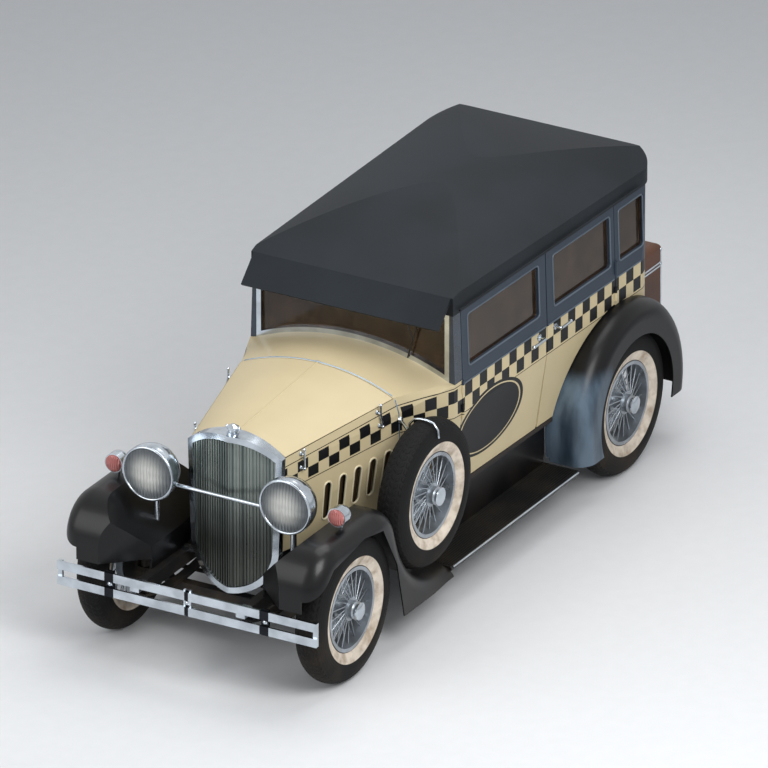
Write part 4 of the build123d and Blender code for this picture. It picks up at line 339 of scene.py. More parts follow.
@dataclass(frozen=True)
class Finish:
    """A plain finish: one colour with its grain, gloss and dust."""

    name: str
    colour: Colour
    roughness: float
    grain: Grain
    metallic: float = 0.0
    coat: float = 0.0
    variation: float = 0.18
    bump: float = 0.06
    dust: float = 0.0
    scale: float = 1.0
    specular: float = 0.5

    def base(self, wiring: Wiring) -> object:
        """Return the colour before its grain and dust."""
        return self.colour

    def relief(self, wiring: Wiring, height: bpy.types.NodeSocket) -> bpy.types.NodeSocket:
        """Return the surface's normal from the grain's height."""
        return wiring.bump(height, self.bump)

    def settle(self, wiring: Wiring, shader: bpy.types.Node) -> None:
        """Set what only some finishes have."""

    def material(self, effects: Effects) -> bpy.types.Material:
        """Build the finish as a node material.

        Args:
            effects: The shared shader groups.

        Returns:
            The material.
        """
        made = bpy.data.materials.new(self.name)
        made.use_nodes = True
        wiring = Wiring(made.node_tree)
        shader = made.node_tree.nodes["Principled BSDF"]
        grain = wiring.node("ShaderNodeGroup", node_tree=effects.grains[self.grain])
        grain.inputs["Scale"].default_value = self.scale
        shade = grain.outputs["Shade"]
        base = self.base(wiring)
        dark = wiring.blend(self.variation, base, BLACK)
        colour = wiring.blend(wiring.span(shade, *SHADE_SPAN), dark, base)
        rough = wiring.calc("MULTIPLY_ADD", shade, ROUGH_SWING, self.roughness - ROUGH_SWING / 2)
        if self.dust:
            dust = wiring.node("ShaderNodeGroup", node_tree=effects.dust)
            dust.inputs["Amount"].default_value = self.dust
            colour = wiring.blend(dust.outputs["Mask"], colour, ROAD_DUST)
            rough = wiring.calc("MULTIPLY_ADD", dust.outputs["Mask"], DUST_ROUGHNESS, rough)
        normal = self.relief(wiring, grain.outputs["Height"])
        wiring.fill(shader, {"Base Color": colour, "Roughness": rough, "Normal": normal})
        wiring.fill(shader, {"Metallic": self.metallic, "Coat Weight": self.coat})
        wiring.fill(shader, {"Specular IOR Level": self.specular})
        self.settle(wiring, shader)
        return made


class Belt(Enum):
    """Where a panel's checkered belt runs and what is above it."""

    SIDE = "side"
    DOOR = "door"
    HOOD = "hood"
    BACK = "back"


@dataclass(frozen=True)
class BeltPaint(Finish):
    """Cream paint with a belt of two checkered rows, and dark window surrounds on the cabin."""

    belt: Belt = Belt.SIDE
    low_z: float = 1.010
    high_z: float = 1.165
    square: float = 0.0775
    ramp_back_x: float = 0.725
    ramp_front_x: float = 1.566
    front_low_z: float = 0.997
    front_high_z: float = 1.118
    line_gap: float = 0.012
    line_half: float = 0.0025
    badge_x: float = -0.063
    badge_z: float = 0.843
    badge_half: float = 0.35
    badge_rise: float = 0.205
    badge_ring: float = 0.9
    badge_ring_half: float = 0.018

    def _edge(self, wiring: Wiring, along: object, back: float, front: float) -> object:
        """Return the height of a belt edge, which falls along the hood.

        Args:
            wiring: Adds the nodes.
            along: The coordinate along the car.
            back: The height at the ramp's back end.
            front: The height at its front end.

        Returns:
            The height, as a number or a socket.
        """
        if self.belt is not Belt.HOOD:
            return back
        ends = (along, self.ramp_back_x, self.ramp_front_x, back, front)
        return wiring.fill(wiring.node("ShaderNodeMapRange"), dict(enumerate(ends))).outputs[0]

    def base(self, wiring: Wiring) -> object:
        """Return the cream, the belt's squares, the surrounds and the door's blank oval.

        Args:
            wiring: Adds the nodes.

        Returns:
            The colour.
        """
        x, y, z = wiring.split(wiring.place())
        low = self._edge(wiring, x, self.low_z, self.front_low_z)
        high = self._edge(wiring, x, self.high_z, self.front_high_z)
        rise = wiring.calc("DIVIDE", wiring.calc("SUBTRACT", z, low), wiring.calc("SUBTRACT", high, low))
        row = wiring.calc("FLOOR", wiring.calc("MULTIPLY", rise, 2.0))
        along = y if self.belt is Belt.BACK else x
        column = wiring.calc("FLOOR", wiring.calc("DIVIDE", along, self.square))
        dark = wiring.calc("FLOORED_MODULO", wiring.calc("ADD", row, column), 2.0)
        inside = wiring.calc("COMPARE", rise, 0.5, 0.5)
        colour = wiring.blend(wiring.calc("MULTIPLY", dark, inside), self.colour, BELT_BLACK)
        under = wiring.calc("COMPARE", wiring.calc("SUBTRACT", low, z), self.line_gap, self.line_half)
        colour = wiring.blend(under, colour, BELT_BLACK)
        if self.belt is Belt.HOOD:
            over = wiring.calc("COMPARE", wiring.calc("SUBTRACT", z, high), self.line_gap, self.line_half)
            colour = wiring.blend(over, colour, BELT_BLACK)
        else:
            colour = wiring.blend(wiring.calc("GREATER_THAN", z, self.high_z), colour, SURROUND)
        if self.belt is Belt.DOOR:
            across = wiring.calc("DIVIDE", wiring.calc("SUBTRACT", x, self.badge_x), self.badge_half)
            up = wiring.calc("DIVIDE", wiring.calc("SUBTRACT", z, self.badge_z), self.badge_rise)
            reach = wiring.reach(across, up)
            colour = wiring.blend(wiring.calc("LESS_THAN", reach, 1.0), colour, BELT_BLACK)
            ring = wiring.calc("COMPARE", reach, self.badge_ring, self.badge_ring_half)
            colour = wiring.blend(ring, colour, self.colour)
        return colour


@dataclass(frozen=True)
class TyreFinish(Finish):
    """Black rubber with a white wall and a moulded tread, measured from the wheel's centre."""

    centre: tuple[float, float, float] = (0.0, 0.0, 0.0)
    wall_inner: float = 0.243
    wall_outer: float = 0.297
    inner_blur: float = 0.002
    outer_blur: float = 0.003
    white: Colour = srgb(226, 214, 198)
    soiled: Colour = srgb(172, 154, 134)
    soil_scale: float = 18.0
    soil_edge: tuple[float, float] = (0.35, 0.8)
    tread_radius: float = 0.392
    tread_blur: float = 0.004
    tread_depth: float = 0.006
    lugs: int = 64
    lug_edge: tuple[float, float] = (-0.5, 0.2)
    zigzags: float = 40.0
    zigzag_bend: float = 3.0
    grooves: float = 230.0
    groove_edge: tuple[float, float] = (-0.7, -0.1)
    wall_rings: float = 420.0
    ring_height: float = 0.04
    grain_height: float = 0.05

    def _polar(self, wiring: Wiring) -> tuple:
        """Return the distance from the axle, the turn round it and the place across the tyre."""
        x, y, z = wiring.split(wiring.place(self.centre))
        return wiring.reach(x, z), wiring.calc("ARCTAN2", z, x), y

    def base(self, wiring: Wiring) -> object:
        """Return black with a soiled white ring.

        Args:
            wiring: Adds the nodes.

        Returns:
            The colour.
        """
        reach, _, _ = self._polar(wiring)
        within = wiring.span(reach, self.wall_inner - self.inner_blur, self.wall_inner)
        beyond = wiring.span(reach, self.wall_outer, self.wall_outer + self.outer_blur)
        ring = wiring.calc("MULTIPLY", within, wiring.calc("SUBTRACT", 1.0, beyond))
        soil = wiring.span(wiring.noise(wiring.place(), self.soil_scale, 6), *self.soil_edge)
        return wiring.blend(ring, self.colour, wiring.blend(soil, self.white, self.soiled))

    def relief(self, wiring: Wiring, height: bpy.types.NodeSocket) -> bpy.types.NodeSocket:
        """Return the tread's blocks and the side wall's rings.

        Args:
            wiring: Adds the nodes.
            height: The grain's height.

        Returns:
            The normal.
        """
        reach, turn, across = self._polar(wiring)
        zigzag = wiring.calc("PINGPONG", wiring.calc("MULTIPLY", across, self.zigzags), 1.0)
        bend = wiring.calc("MULTIPLY", zigzag, self.zigzag_bend)
        lug = wiring.calc("SINE", wiring.calc("MULTIPLY_ADD", turn, float(self.lugs), bend))
        groove = wiring.calc("SINE", wiring.calc("MULTIPLY", across, self.grooves))
        cut = wiring.span(groove, *self.groove_edge)
        blocks = wiring.calc("MULTIPLY", wiring.span(lug, *self.lug_edge), cut)
        outside = wiring.span(reach, self.tread_radius, self.tread_radius + self.tread_blur)
        tread = wiring.calc("MULTIPLY", blocks, outside)
        wave = wiring.calc("SINE", wiring.calc("MULTIPLY", reach, self.wall_rings))
        moulded = wiring.calc("ADD", tread, wiring.calc("MULTIPLY", wave, self.ring_height))
        whole = wiring.calc("MULTIPLY_ADD", height, self.grain_height, moulded)
        return wiring.bump(whole, 1.0, self.tread_depth)


@dataclass(frozen=True)
class FenderReflectionPaint(Finish):
    """Gloss black with a painted reflection: a bright blue-grey streaked patch at the front of the rear
    fenders.
    """

    # The two panel colours, their place and the streaks are a painted reflection on the black paint, not a
    # panel of its own.
    panel: Colour = srgb(104, 122, 138)
    painted_reflection_dark: Colour = srgb(44, 58, 72)
    reflection_back_x: float = -1.13
    reflection_front_x: float = -0.80
    reflection_top_z: float = 0.80
    blur_x: float = 0.03
    blur_z: float = 0.1
    streak_stretch: tuple[float, float, float] = (3, 3, 0.6)
    streak_scale: float = 3.0
    streak_edge: tuple[float, float] = (0.3, 0.75)

    def base(self, wiring: Wiring) -> object:
        """Return black with the painted reflection ahead of the rear tyre.

        Args:
            wiring: Adds the nodes.

        Returns:
            The colour.
        """
        x, _, z = wiring.split(wiring.place())
        behind = wiring.span(x, self.reflection_back_x, self.reflection_back_x + self.blur_x)
        ahead = wiring.calc("MULTIPLY", behind, wiring.calc("LESS_THAN", x, self.reflection_front_x))
        low = wiring.calc("SUBTRACT", 1.0, wiring.span(z, self.reflection_top_z - self.blur_z, self.reflection_top_z))
        cloud = wiring.noise(wiring.place(scale=self.streak_stretch), self.streak_scale)
        streak = wiring.span(cloud, *self.streak_edge)
        bright = wiring.blend(streak, self.panel, self.painted_reflection_dark)
        return wiring.blend(wiring.calc("MULTIPLY", ahead, low), self.colour, bright)


@dataclass(frozen=True)
class GlassFinish(Finish):
    """Glass that lets some light through, plain or ribbed like a lamp's lens."""

    through: float = 0.85
    ribs: float = 0.0
    rib_strength: float = 0.7
    rib_depth: float = 0.004
    ribs_in_band: float = 3.0
    band_height: float = 0.5
    refraction: float = 1.45

    def relief(self, wiring: Wiring, height: bpy.types.NodeSocket) -> bpy.types.NodeSocket:
        """Return faint waves, or a lens's upright flutes.

        Args:
            wiring: Adds the nodes.
            height: The grain's height.

        Returns:
            The normal.
        """
        if not self.ribs:
            return wiring.bump(height, self.bump)
        _, y, z = wiring.split(wiring.place())
        flutes = wiring.calc("SINE", wiring.calc("MULTIPLY", y, self.ribs))
        wave = wiring.calc("SINE", wiring.calc("MULTIPLY", z, self.ribs / self.ribs_in_band))
        bands = wiring.calc("MULTIPLY", wave, self.band_height)
        return wiring.bump(wiring.calc("ADD", flutes, bands), self.rib_strength, self.rib_depth)

    def settle(self, wiring: Wiring, shader: bpy.types.Node) -> None:
        """Let light through."""
        wiring.fill(shader, {"Transmission Weight": self.through, "IOR": self.refraction})


@dataclass(frozen=True)
class LensFinish(GlassFinish):
    """A headlamp's lens with a painted highlight: white in the middle, fading to painted shade in grey
    towards its rim.
    """

    lamp_y: float = 0.424
    lamp_z: float = 1.021
    # Painted highlight in the middle, fading to the grey rim colour, which is painted shade.
    highlight_radius: float = 0.030
    rim_radius: float = 0.135
    rim: Colour = srgb(112, 118, 122)

    def base(self, wiring: Wiring) -> object:
        """Return a painted highlight that greys to painted shade with the distance from the lamp's middle.

        Args:
            wiring: Adds the nodes.

        Returns:
            The colour.
        """
        _, y, z = wiring.split(wiring.place())
        across = wiring.calc("SUBTRACT", wiring.calc("ABSOLUTE", y), self.lamp_y)
        up = wiring.calc("SUBTRACT", z, self.lamp_z)
        share = wiring.span(wiring.reach(across, up), self.highlight_radius, self.rim_radius)
        return wiring.blend(share, self.colour, self.rim)


@dataclass(frozen=True)
class ScreenFrame(Finish):
    """Bright metal round the windscreen, and the cabin's dark paint on its posts."""

    post_y: float = 0.600

    def _post(self, wiring: Wiring) -> bpy.types.NodeSocket:
        """Return 1 on the posts."""
        _, y, _ = wiring.split(wiring.place())
        return wiring.calc("GREATER_THAN", wiring.calc("ABSOLUTE", y), self.post_y)

    def base(self, wiring: Wiring) -> object:
        """Return metal or paint."""
        return wiring.blend(self._post(wiring), self.colour, SURROUND)

    def settle(self, wiring: Wiring, shader: bpy.types.Node) -> None:
        """Keep the paint from looking like metal."""
        wiring.feed(shader.inputs["Metallic"], wiring.calc("SUBTRACT", 1.0, self._post(wiring)))


@dataclass(frozen=True)
class BumperFinish(Finish):
    """Bright bars with dark clamps."""

    clamp: Colour = srgb(44, 46, 50)
    clamp_y: float = 0.48
    clamp_half: float = 0.028
    middle_half: float = 0.012

    def base(self, wiring: Wiring) -> object:
        """Return bright metal, dark at the two outer clamps and the narrow middle one.

        Args:
            wiring: Adds the nodes.

        Returns:
            The colour.
        """
        _, y, _ = wiring.split(wiring.place())
        off = wiring.calc("ABSOLUTE", y)
        outer = wiring.calc("COMPARE", off, self.clamp_y, self.clamp_half)
        middle = wiring.calc("LESS_THAN", off, self.middle_half)
        return wiring.blend(wiring.calc("MAXIMUM", outer, middle), self.colour, self.clamp)


@dataclass(frozen=True)
class GrilleFinish(Finish):
    """Upright bars that differ a little in tone, darker low down."""

    pitch: float = 0.018
    pale: Colour = srgb(150, 158, 152)
    # The bars darken towards the bottom.
    low_tone: Colour = srgb(40, 36, 28)
    low_tone_z: tuple[float, float] = (0.55, 1.1)
    low_tone_share: float = 0.75

    def base(self, wiring: Wiring) -> object:
        """Return bars that differ a little in colour, darker low down.

        Args:
            wiring: Adds the nodes.

        Returns:
            The colour.
        """
        _, y, z = wiring.split(wiring.place())
        cell = wiring.calc("FLOOR", wiring.calc("DIVIDE", wiring.calc("ADD", y, self.pitch / 2), self.pitch))
        white = wiring.node("ShaderNodeTexWhiteNoise", noise_dimensions="1D")
        wiring.feed(white.inputs["W"], cell)
        tone = wiring.blend(white.outputs["Value"], self.colour, self.pale)
        low = wiring.calc("SUBTRACT", 1.0, wiring.span(z, *self.low_tone_z))
        return wiring.blend(wiring.calc("MULTIPLY", low, self.low_tone_share), tone, self.low_tone)


class Form:
    """Simple shapes collected into one mesh."""

    BALL_STEPS = 8

    def __init__(self) -> None:
        """Start empty."""
        self.shape = bmesh.new()

    def _close(self, rings: Sequence[Sequence[bmesh.types.BMVert]], loop: bool = False) -> None:
        """Join neighbouring rings of points with faces.

        Args:
            rings: Rings of points; a ring of one point is a tip.
            loop: Whether the last ring joins the first.
        """
        pairs = list(zip(rings, rings[1:]))
        if loop:
            pairs.append((rings[-1], rings[0]))
        for first, second in pairs:
            count = max(len(first), len(second))
            for index in range(count):
                after = (index + 1) % count
                corners = []
                for ring, place in ((first, index), (first, after), (second, after), (second, index)):
                    corner = ring[place % len(ring)]
                    if corner not in corners:
                        corners.append(corner)
                self.shape.faces.new(corners)

    def tube(self, points: Sequence[Point], radius: float, sides: int = 10, loop: bool = False) -> "Form":
        """Add a round bar along points.

        Args:
            points: The bar's middle line.
            radius: Half its thickness.
            sides: Points round it.
            loop: Whether it goes back to its start.

        Returns:
            The form itself.
        """
        path = [Vector(point) for point in points]
        last = len(path) - 1
        across = None
        rings = []
        for index, point in enumerate(path):
            before = path[index - 1] if index or loop else point
            after = path[(index + 1) % len(path)] if index < last or loop else point
            along = (after - before).normalized()
            across = across or along.orthogonal()
            across = (across - along * across.dot(along)).normalized()
            up = along.cross(across)
            turns = [2 * math.pi * side / sides for side in range(sides)]
            spokes = [math.cos(turn) * across + math.sin(turn) * up for turn in turns]
            rings.append([self.shape.verts.new(point + radius * spoke) for spoke in spokes])
        self._close(rings, loop)
        if not loop:
            self.shape.faces.new(rings[0])
            self.shape.faces.new(rings[-1])
        return self

    def lathe(self, profile: Sequence[Point], centre: Point, axis: Point, steps: int = 32) -> "Form":
        """Add a turned shape.

        Args:
            profile: Along and radius of each point; it starts and ends on the axis.
            centre: Where along is zero.
            axis: The way along grows.
            steps: Points round it.

        Returns:
            The form itself.
        """
        way = Vector(axis).normalized()
        across = way.orthogonal().normalized()
        up = way.cross(across)
        rings = []
        for along, radius in profile:
            middle = Vector(centre) + way * along
            turns = [2 * math.pi * step / steps for step in range(steps if radius else 1)]
            spokes = [math.cos(turn) * across + math.sin(turn) * up for turn in turns]
            rings.append([self.shape.verts.new(middle + radius * spoke) for spoke in spokes])
        self._close(rings)
        return self

    def prism(self, outline: Sequence[Point], push: Point, bevel: float = 0.0) -> "Form":
        """Add a plate: an outline pushed along a way, with its edges rounded.

        Args:
            outline: The corners of one face.
            push: From that face to the other.
            bevel: Size of the rounding.

        Returns:
            The form itself.
        """
        near = [self.shape.verts.new(point) for point in outline]
        far = [self.shape.verts.new(Vector(point) + Vector(push)) for point in outline]
        self._close((near, far))
        ends = [self.shape.faces.new(near), self.shape.faces.new(far)]
        if bevel:
            edges = {edge for face in ends for edge in face.edges} | {e for v in near for e in v.link_edges}
            bmesh.ops.recalc_face_normals(self.shape, faces=self.shape.faces)
            rounding = {"offset": bevel, "segments": 3, "profile": 0.5, "affect": "EDGES"}
            bmesh.ops.bevel(self.shape, geom=list(edges), **rounding)
        return self

    def block(self, low: Point, high: Point, bevel: float = 0.0) -> "Form":
        """Add a box between two corners, with its edges rounded."""
        corners = ((low[0], low[1]), (high[0], low[1]), (high[0], high[1]), (low[0], high[1]))
        return self.prism([(x, y, low[2]) for x, y in corners], (0, 0, high[2] - low[2]), bevel)

    def ball(self, centre: Point, radius: float) -> "Form":
        """Add a ball.

        Args:
            centre: Its middle.
            radius: Half its width.

        Returns:
            The form itself.
        """
        turns = [math.pi * step / self.BALL_STEPS for step in range(1, self.BALL_STEPS)]
        profile = [(-radius * math.cos(turn), radius * math.sin(turn)) for turn in turns]
        return self.lathe([(-radius, 0), *profile, (radius, 0)], centre, (0, 0, 1), 2 * self.BALL_STEPS)

    def mesh(self, name: str, angle: float = 38.0) -> bpy.types.Mesh:
        """Return the mesh, smooth except across sharp edges.

        Args:
            name: The mesh's name.
            angle: Edges that bend more than this stay sharp, in degrees.

        Returns:
            The mesh; the form is used up.
        """
        bmesh.ops.recalc_face_normals(self.shape, faces=self.shape.faces)
        for face in self.shape.faces:
            face.smooth = True
        for edge in self.shape.edges:
            edge.smooth = edge.is_manifold and edge.calc_face_angle() < math.radians(angle)
        made = bpy.data.meshes.new(name)
        self.shape.to_mesh(made)
        self.shape.free()
        return made


def plain_mesh(holder: bpy.types.Object) -> bpy.types.Mesh:
    """Return an object's mesh as its modifiers leave it, and take them off.

    Args:
        holder: The object.

    Returns:
        The new mesh.
    """
    bpy.context.view_layer.update()
    shown = holder.evaluated_get(bpy.context.evaluated_depsgraph_get())
    made = bpy.data.meshes.new_from_object(shown)
    holder.modifiers.clear()
    return made


def scene_object(name: str, data: bpy.types.ID) -> bpy.types.Object:
    """Put a mesh, a light or a camera into the scene.

    Args:
        name: The object's name.
        data: What it holds.

    Returns:
        The object.
    """
    holder = bpy.data.objects.new(name, data)
    bpy.context.scene.collection.objects.link(holder)
    return holder


class RowItem(Enum):
    """What a row repeats."""

    RIB = "GeometryNodeMeshCube"
    STUD = "GeometryNodeMeshUVSphere"


class RowTree:
    """A Geometry Nodes tree that sets one small item at even steps."""

    STUD_SHAPE = {"Segments": 10, "Rings": 6, "Radius": 0.5}
    INPUTS = (
        ("Count", "NodeSocketInt"),
        ("Start", "NodeSocketVector"),
        ("Step", "NodeSocketVector"),
        ("Size", "NodeSocketVector"),
        ("Turn", "NodeSocketVector"),
        ("Finish", "NodeSocketMaterial"),
    )

    def __init__(self, item: RowItem) -> None:
        """Build the tree for one kind of item.

        Args:
            item: What is repeated.
        """
        self.tree = bpy.data.node_groups.new(f"row_of_{item.name.lower()}s", "GeometryNodeTree")
        for label, kind in self.INPUTS:
            self.tree.interface.new_socket(label, in_out="INPUT", socket_type=kind)
        self.tree.interface.new_socket("Mesh", in_out="OUTPUT", socket_type="NodeSocketGeometry")
        wiring = Wiring(self.tree)
        given = wiring.node("NodeGroupInput").outputs
        steps = {"Count": given["Count"], "Start Location": given["Start"], "Offset": given["Step"]}
        line = wiring.fill(wiring.node("GeometryNodeMeshLine"), steps)
        shape = wiring.node(item.value)
        if item is RowItem.STUD:
            wiring.fill(shape, self.STUD_SHAPE)
        spread = wiring.node("GeometryNodeInstanceOnPoints")
        wiring.fill(spread, {"Points": line.outputs[0], "Instance": shape.outputs[0]})
        wiring.fill(spread, {"Rotation": given["Turn"], "Scale": given["Size"]})
        real = wiring.fill(wiring.node("GeometryNodeRealizeInstances"), {0: spread.outputs[0]})
        smooth = wiring.node("GeometryNodeSetShadeSmooth")
        wiring.fill(smooth, {0: real.outputs[0], "Shade Smooth": item is RowItem.STUD})
        coat = wiring.node("GeometryNodeSetMaterial")
        wiring.fill(coat, {"Geometry": smooth.outputs[0], "Material": given["Finish"]})
        wiring.fill(wiring.node("NodeGroupOutput"), {0: coat.outputs[0]})

    def mesh(self, name: str, **values: object) -> bpy.types.Mesh:
        """Return one row as a plain mesh.

        Args:
            name: The mesh's name.
            values: A value for each of the tree's inputs, by its name.

        Returns:
            The mesh.
        """
        holder = scene_object(f"{name}_row", bpy.data.meshes.new(f"{name}_empty"))
        row = holder.modifiers.new("row", "NODES")
        row.node_group = self.tree
        for item in self.tree.interface.items_tree:
            if item.in_out == "INPUT" and item.name in values:
                row[item.identifier] = values[item.name]
        made = plain_mesh(holder)
        bpy.data.objects.remove(holder)
        made.name = name
        return made


class Dresser:
    """Gives CAD nodes their finishes, and new pieces a finish and a body."""

    def __init__(self, nodes: dict[str, bpy.types.Object]) -> None:
        """Keep the CAD nodes and build what all the pieces share.

        Args:
            nodes: The CAD nodes by name.
        """
        self.nodes = nodes
        self.effects = Effects()
        self.rows = {item: RowTree(item) for item in RowItem}
        self.materials: dict[str, bpy.types.Material] = {}

    def material(self, finish: Finish) -> bpy.types.Material:
        """Return a finish's material, built once.

        Args:
            finish: The finish.

        Returns:
            The material.
        """
        if finish.name not in self.materials:
            self.materials[finish.name] = finish.material(self.effects)
        return self.materials[finish.name]

    def coat(self, finish: Finish, *names: str) -> None:
        """Give CAD nodes a finish.

        Args:
            finish: The finish.
            names: The nodes' names.
        """
        for name in names:
            for slot in self.nodes[name].material_slots:
                slot.material = self.material(finish)

    def piece(
        self, name: str, mesh: bpy.types.Mesh, finish: Finish, body: str
    ) -> bpy.types.Object:
        """Put a finished mesh on a body.

        Args:
            name: The piece's name.
            mesh: Its mesh, in place.
            finish: Its finish.
            body: The CAD body that it rides on.

        Returns:
            The piece.
        """
        made = bpy.data.objects.new(name, mesh)
        bpy.context.scene.collection.objects.link(made)
        mesh.materials.clear()
        mesh.materials.append(self.material(finish))
        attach(made, body)
        LOG.info("%s rides on %s", name, body)
        return made

    def add(self, name: str, form: Form, finish: Finish, body: str, slot: str) -> bpy.types.Object:
        """Put a form on a body as a finished piece."""
        return self.piece(name, form.mesh(name), finish, body)

    def bright(self, name: str, form: Form, body: str = "chassis") -> bpy.types.Object:
        """Put a form on a body as a chrome fitting."""
        return self.add(name, form, CHROME, body, "chrome")

    def touch(self, node: str, start: Point, way: Point) -> Vector | None:
        """Return where a straight line first meets a CAD node.

        Args:
            node: The node's name.
            start: Where the line starts.
            way: Where it goes.

        Returns:
            The place, or None.
        """
        holder = self.nodes[node]
        inward = holder.matrix_world.inverted()
        found, place, _, _ = holder.ray_cast(inward @ Vector(start), inward.to_3x3() @ Vector(way))
        return holder.matrix_world @ place if found else None

    def row(
        self, name: str, item: RowItem, finish: Finish, body: str, slot: str, **values: object
    ) -> bpy.types.Object:
        """Put a row of repeated items on a body."""
        mesh = self.rows[item].mesh(name, Finish=self.material(finish), **values)
        return self.piece(name, mesh, finish, body)


POLISH = {"variation": 0.3, "bump": 0.02}
CHROME = Finish("polished_chrome", srgb(206, 214, 222), 0.16, Grain.METAL, metallic=1.0, **POLISH)
BUMPER_CHROME = BumperFinish("bumper_chrome", CHROME.colour, 0.16, Grain.METAL, metallic=1.0, **POLISH)
SCREEN_FRAME = ScreenFrame("screen_frame", CHROME.colour, 0.18, Grain.METAL, **POLISH)
BLACK_ENAMEL = Finish("black_enamel", srgb(10, 10, 12), 0.34, Grain.PAINT, coat=0.06, dust=0.07, specular=0.3)
FRAME_BLACK = Finish("frame_black", srgb(18, 18, 19), 0.55, Grain.PAINT, dust=0.35, specular=0.25)
CHARCOAL_TOP = Finish(
    "charcoal_top", srgb(35, 40, 45), 0.6, Grain.CANVAS, variation=0.45, bump=0.1, specular=0.2
)
# Lighter blue-grey than the surround paint: a painted highlight on the window reveals and belt mouldings.
HIGHLIT_REVEAL = Finish("window_reveal_painted_highlight", srgb(78, 92, 106), 0.3, Grain.PAINT, coat=0.4)
BAND_BLUE = Finish(
    "band_blue", srgb(150, 172, 192), 0.25, Grain.METAL, metallic=0.6, variation=0.2, bump=0.02
)
BLACK_RUBBER = Finish("black_rubber", srgb(16, 16, 16), 0.7, Grain.CAST, dust=0.12, specular=0.2)
CONTROL_BLACK = Finish("control_black", srgb(20, 18, 17), 0.3, Grain.PAINT, coat=0.3)
WIRE_ENAMEL = Finish(
    "wire_enamel", srgb(172, 179, 186), 0.3, Grain.METAL, metallic=0.75, variation=0.35, dust=0.1
)
ENGINE_IRON = Finish("engine_iron", srgb(70, 76, 72), 0.6, Grain.CAST, metallic=0.4, bump=0.2)
PIPE_STEEL = Finish("pipe_steel", srgb(110, 100, 92), 0.45, Grain.CAST, metallic=0.8, variation=0.4, dust=0.4)
SEAT_HIDE = Finish("seat_hide", srgb(92, 58, 38), 0.48, Grain.HIDE, variation=0.35, bump=0.2)
TRUNK_HIDE = Finish("trunk_hide", srgb(88, 52, 31), 0.5, Grain.HIDE, variation=0.45, bump=0.25, scale=0.7)
FLOOR_MAT = Finish("floor_mat", srgb(44, 38, 34), 0.85, Grain.CANVAS)
BROWN_GLASS = GlassFinish("brown_glass", srgb(132, 104, 78), 0.1, Grain.METAL, variation=0.5, bump=0.01)
LENS_GLASS = LensFinish(
    "lens_glass", srgb(240, 240, 234), 0.16, Grain.METAL, variation=0.1, through=0.3, ribs=330.0
)
ROSE_GLASS = GlassFinish("rose_glass", srgb(226, 138, 132), 0.16, Grain.METAL, through=0.3, ribs=520.0)
GRILLE_BARS = GrilleFinish("grille_bars", srgb(104, 114, 112), 0.3, Grain.METAL, metallic=0.7)
# Black with a painted blue-grey reflection ahead of each rear tyre.
REAR_FENDER_PAINTED_REFLECTION = FenderReflectionPaint(
    "rear_fender_black_painted_reflection", BLACK_ENAMEL.colour, 0.34, Grain.PAINT, dust=0.07, specular=0.3
)


def belt_paint(name: str, belt: Belt, **edges: float) -> BeltPaint:
    """Return the cream paint with its belt for one kind of panel, with its edges where they differ."""
    settings = {"coat": 0.05, "variation": 0.08, "dust": 0.06, "specular": 0.22}
    return BeltPaint(name, CREAM, 0.42, Grain.PAINT, belt=belt, **settings, **edges)


HOOD_PAINT = belt_paint("hood_paint", Belt.HOOD, low_z=1.052, high_z=1.183)
COWL_PAINT = belt_paint(
    "cowl_paint", Belt.HOOD, ramp_back_x=0.262, ramp_front_x=0.725, front_low_z=1.052, front_high_z=1.183
)


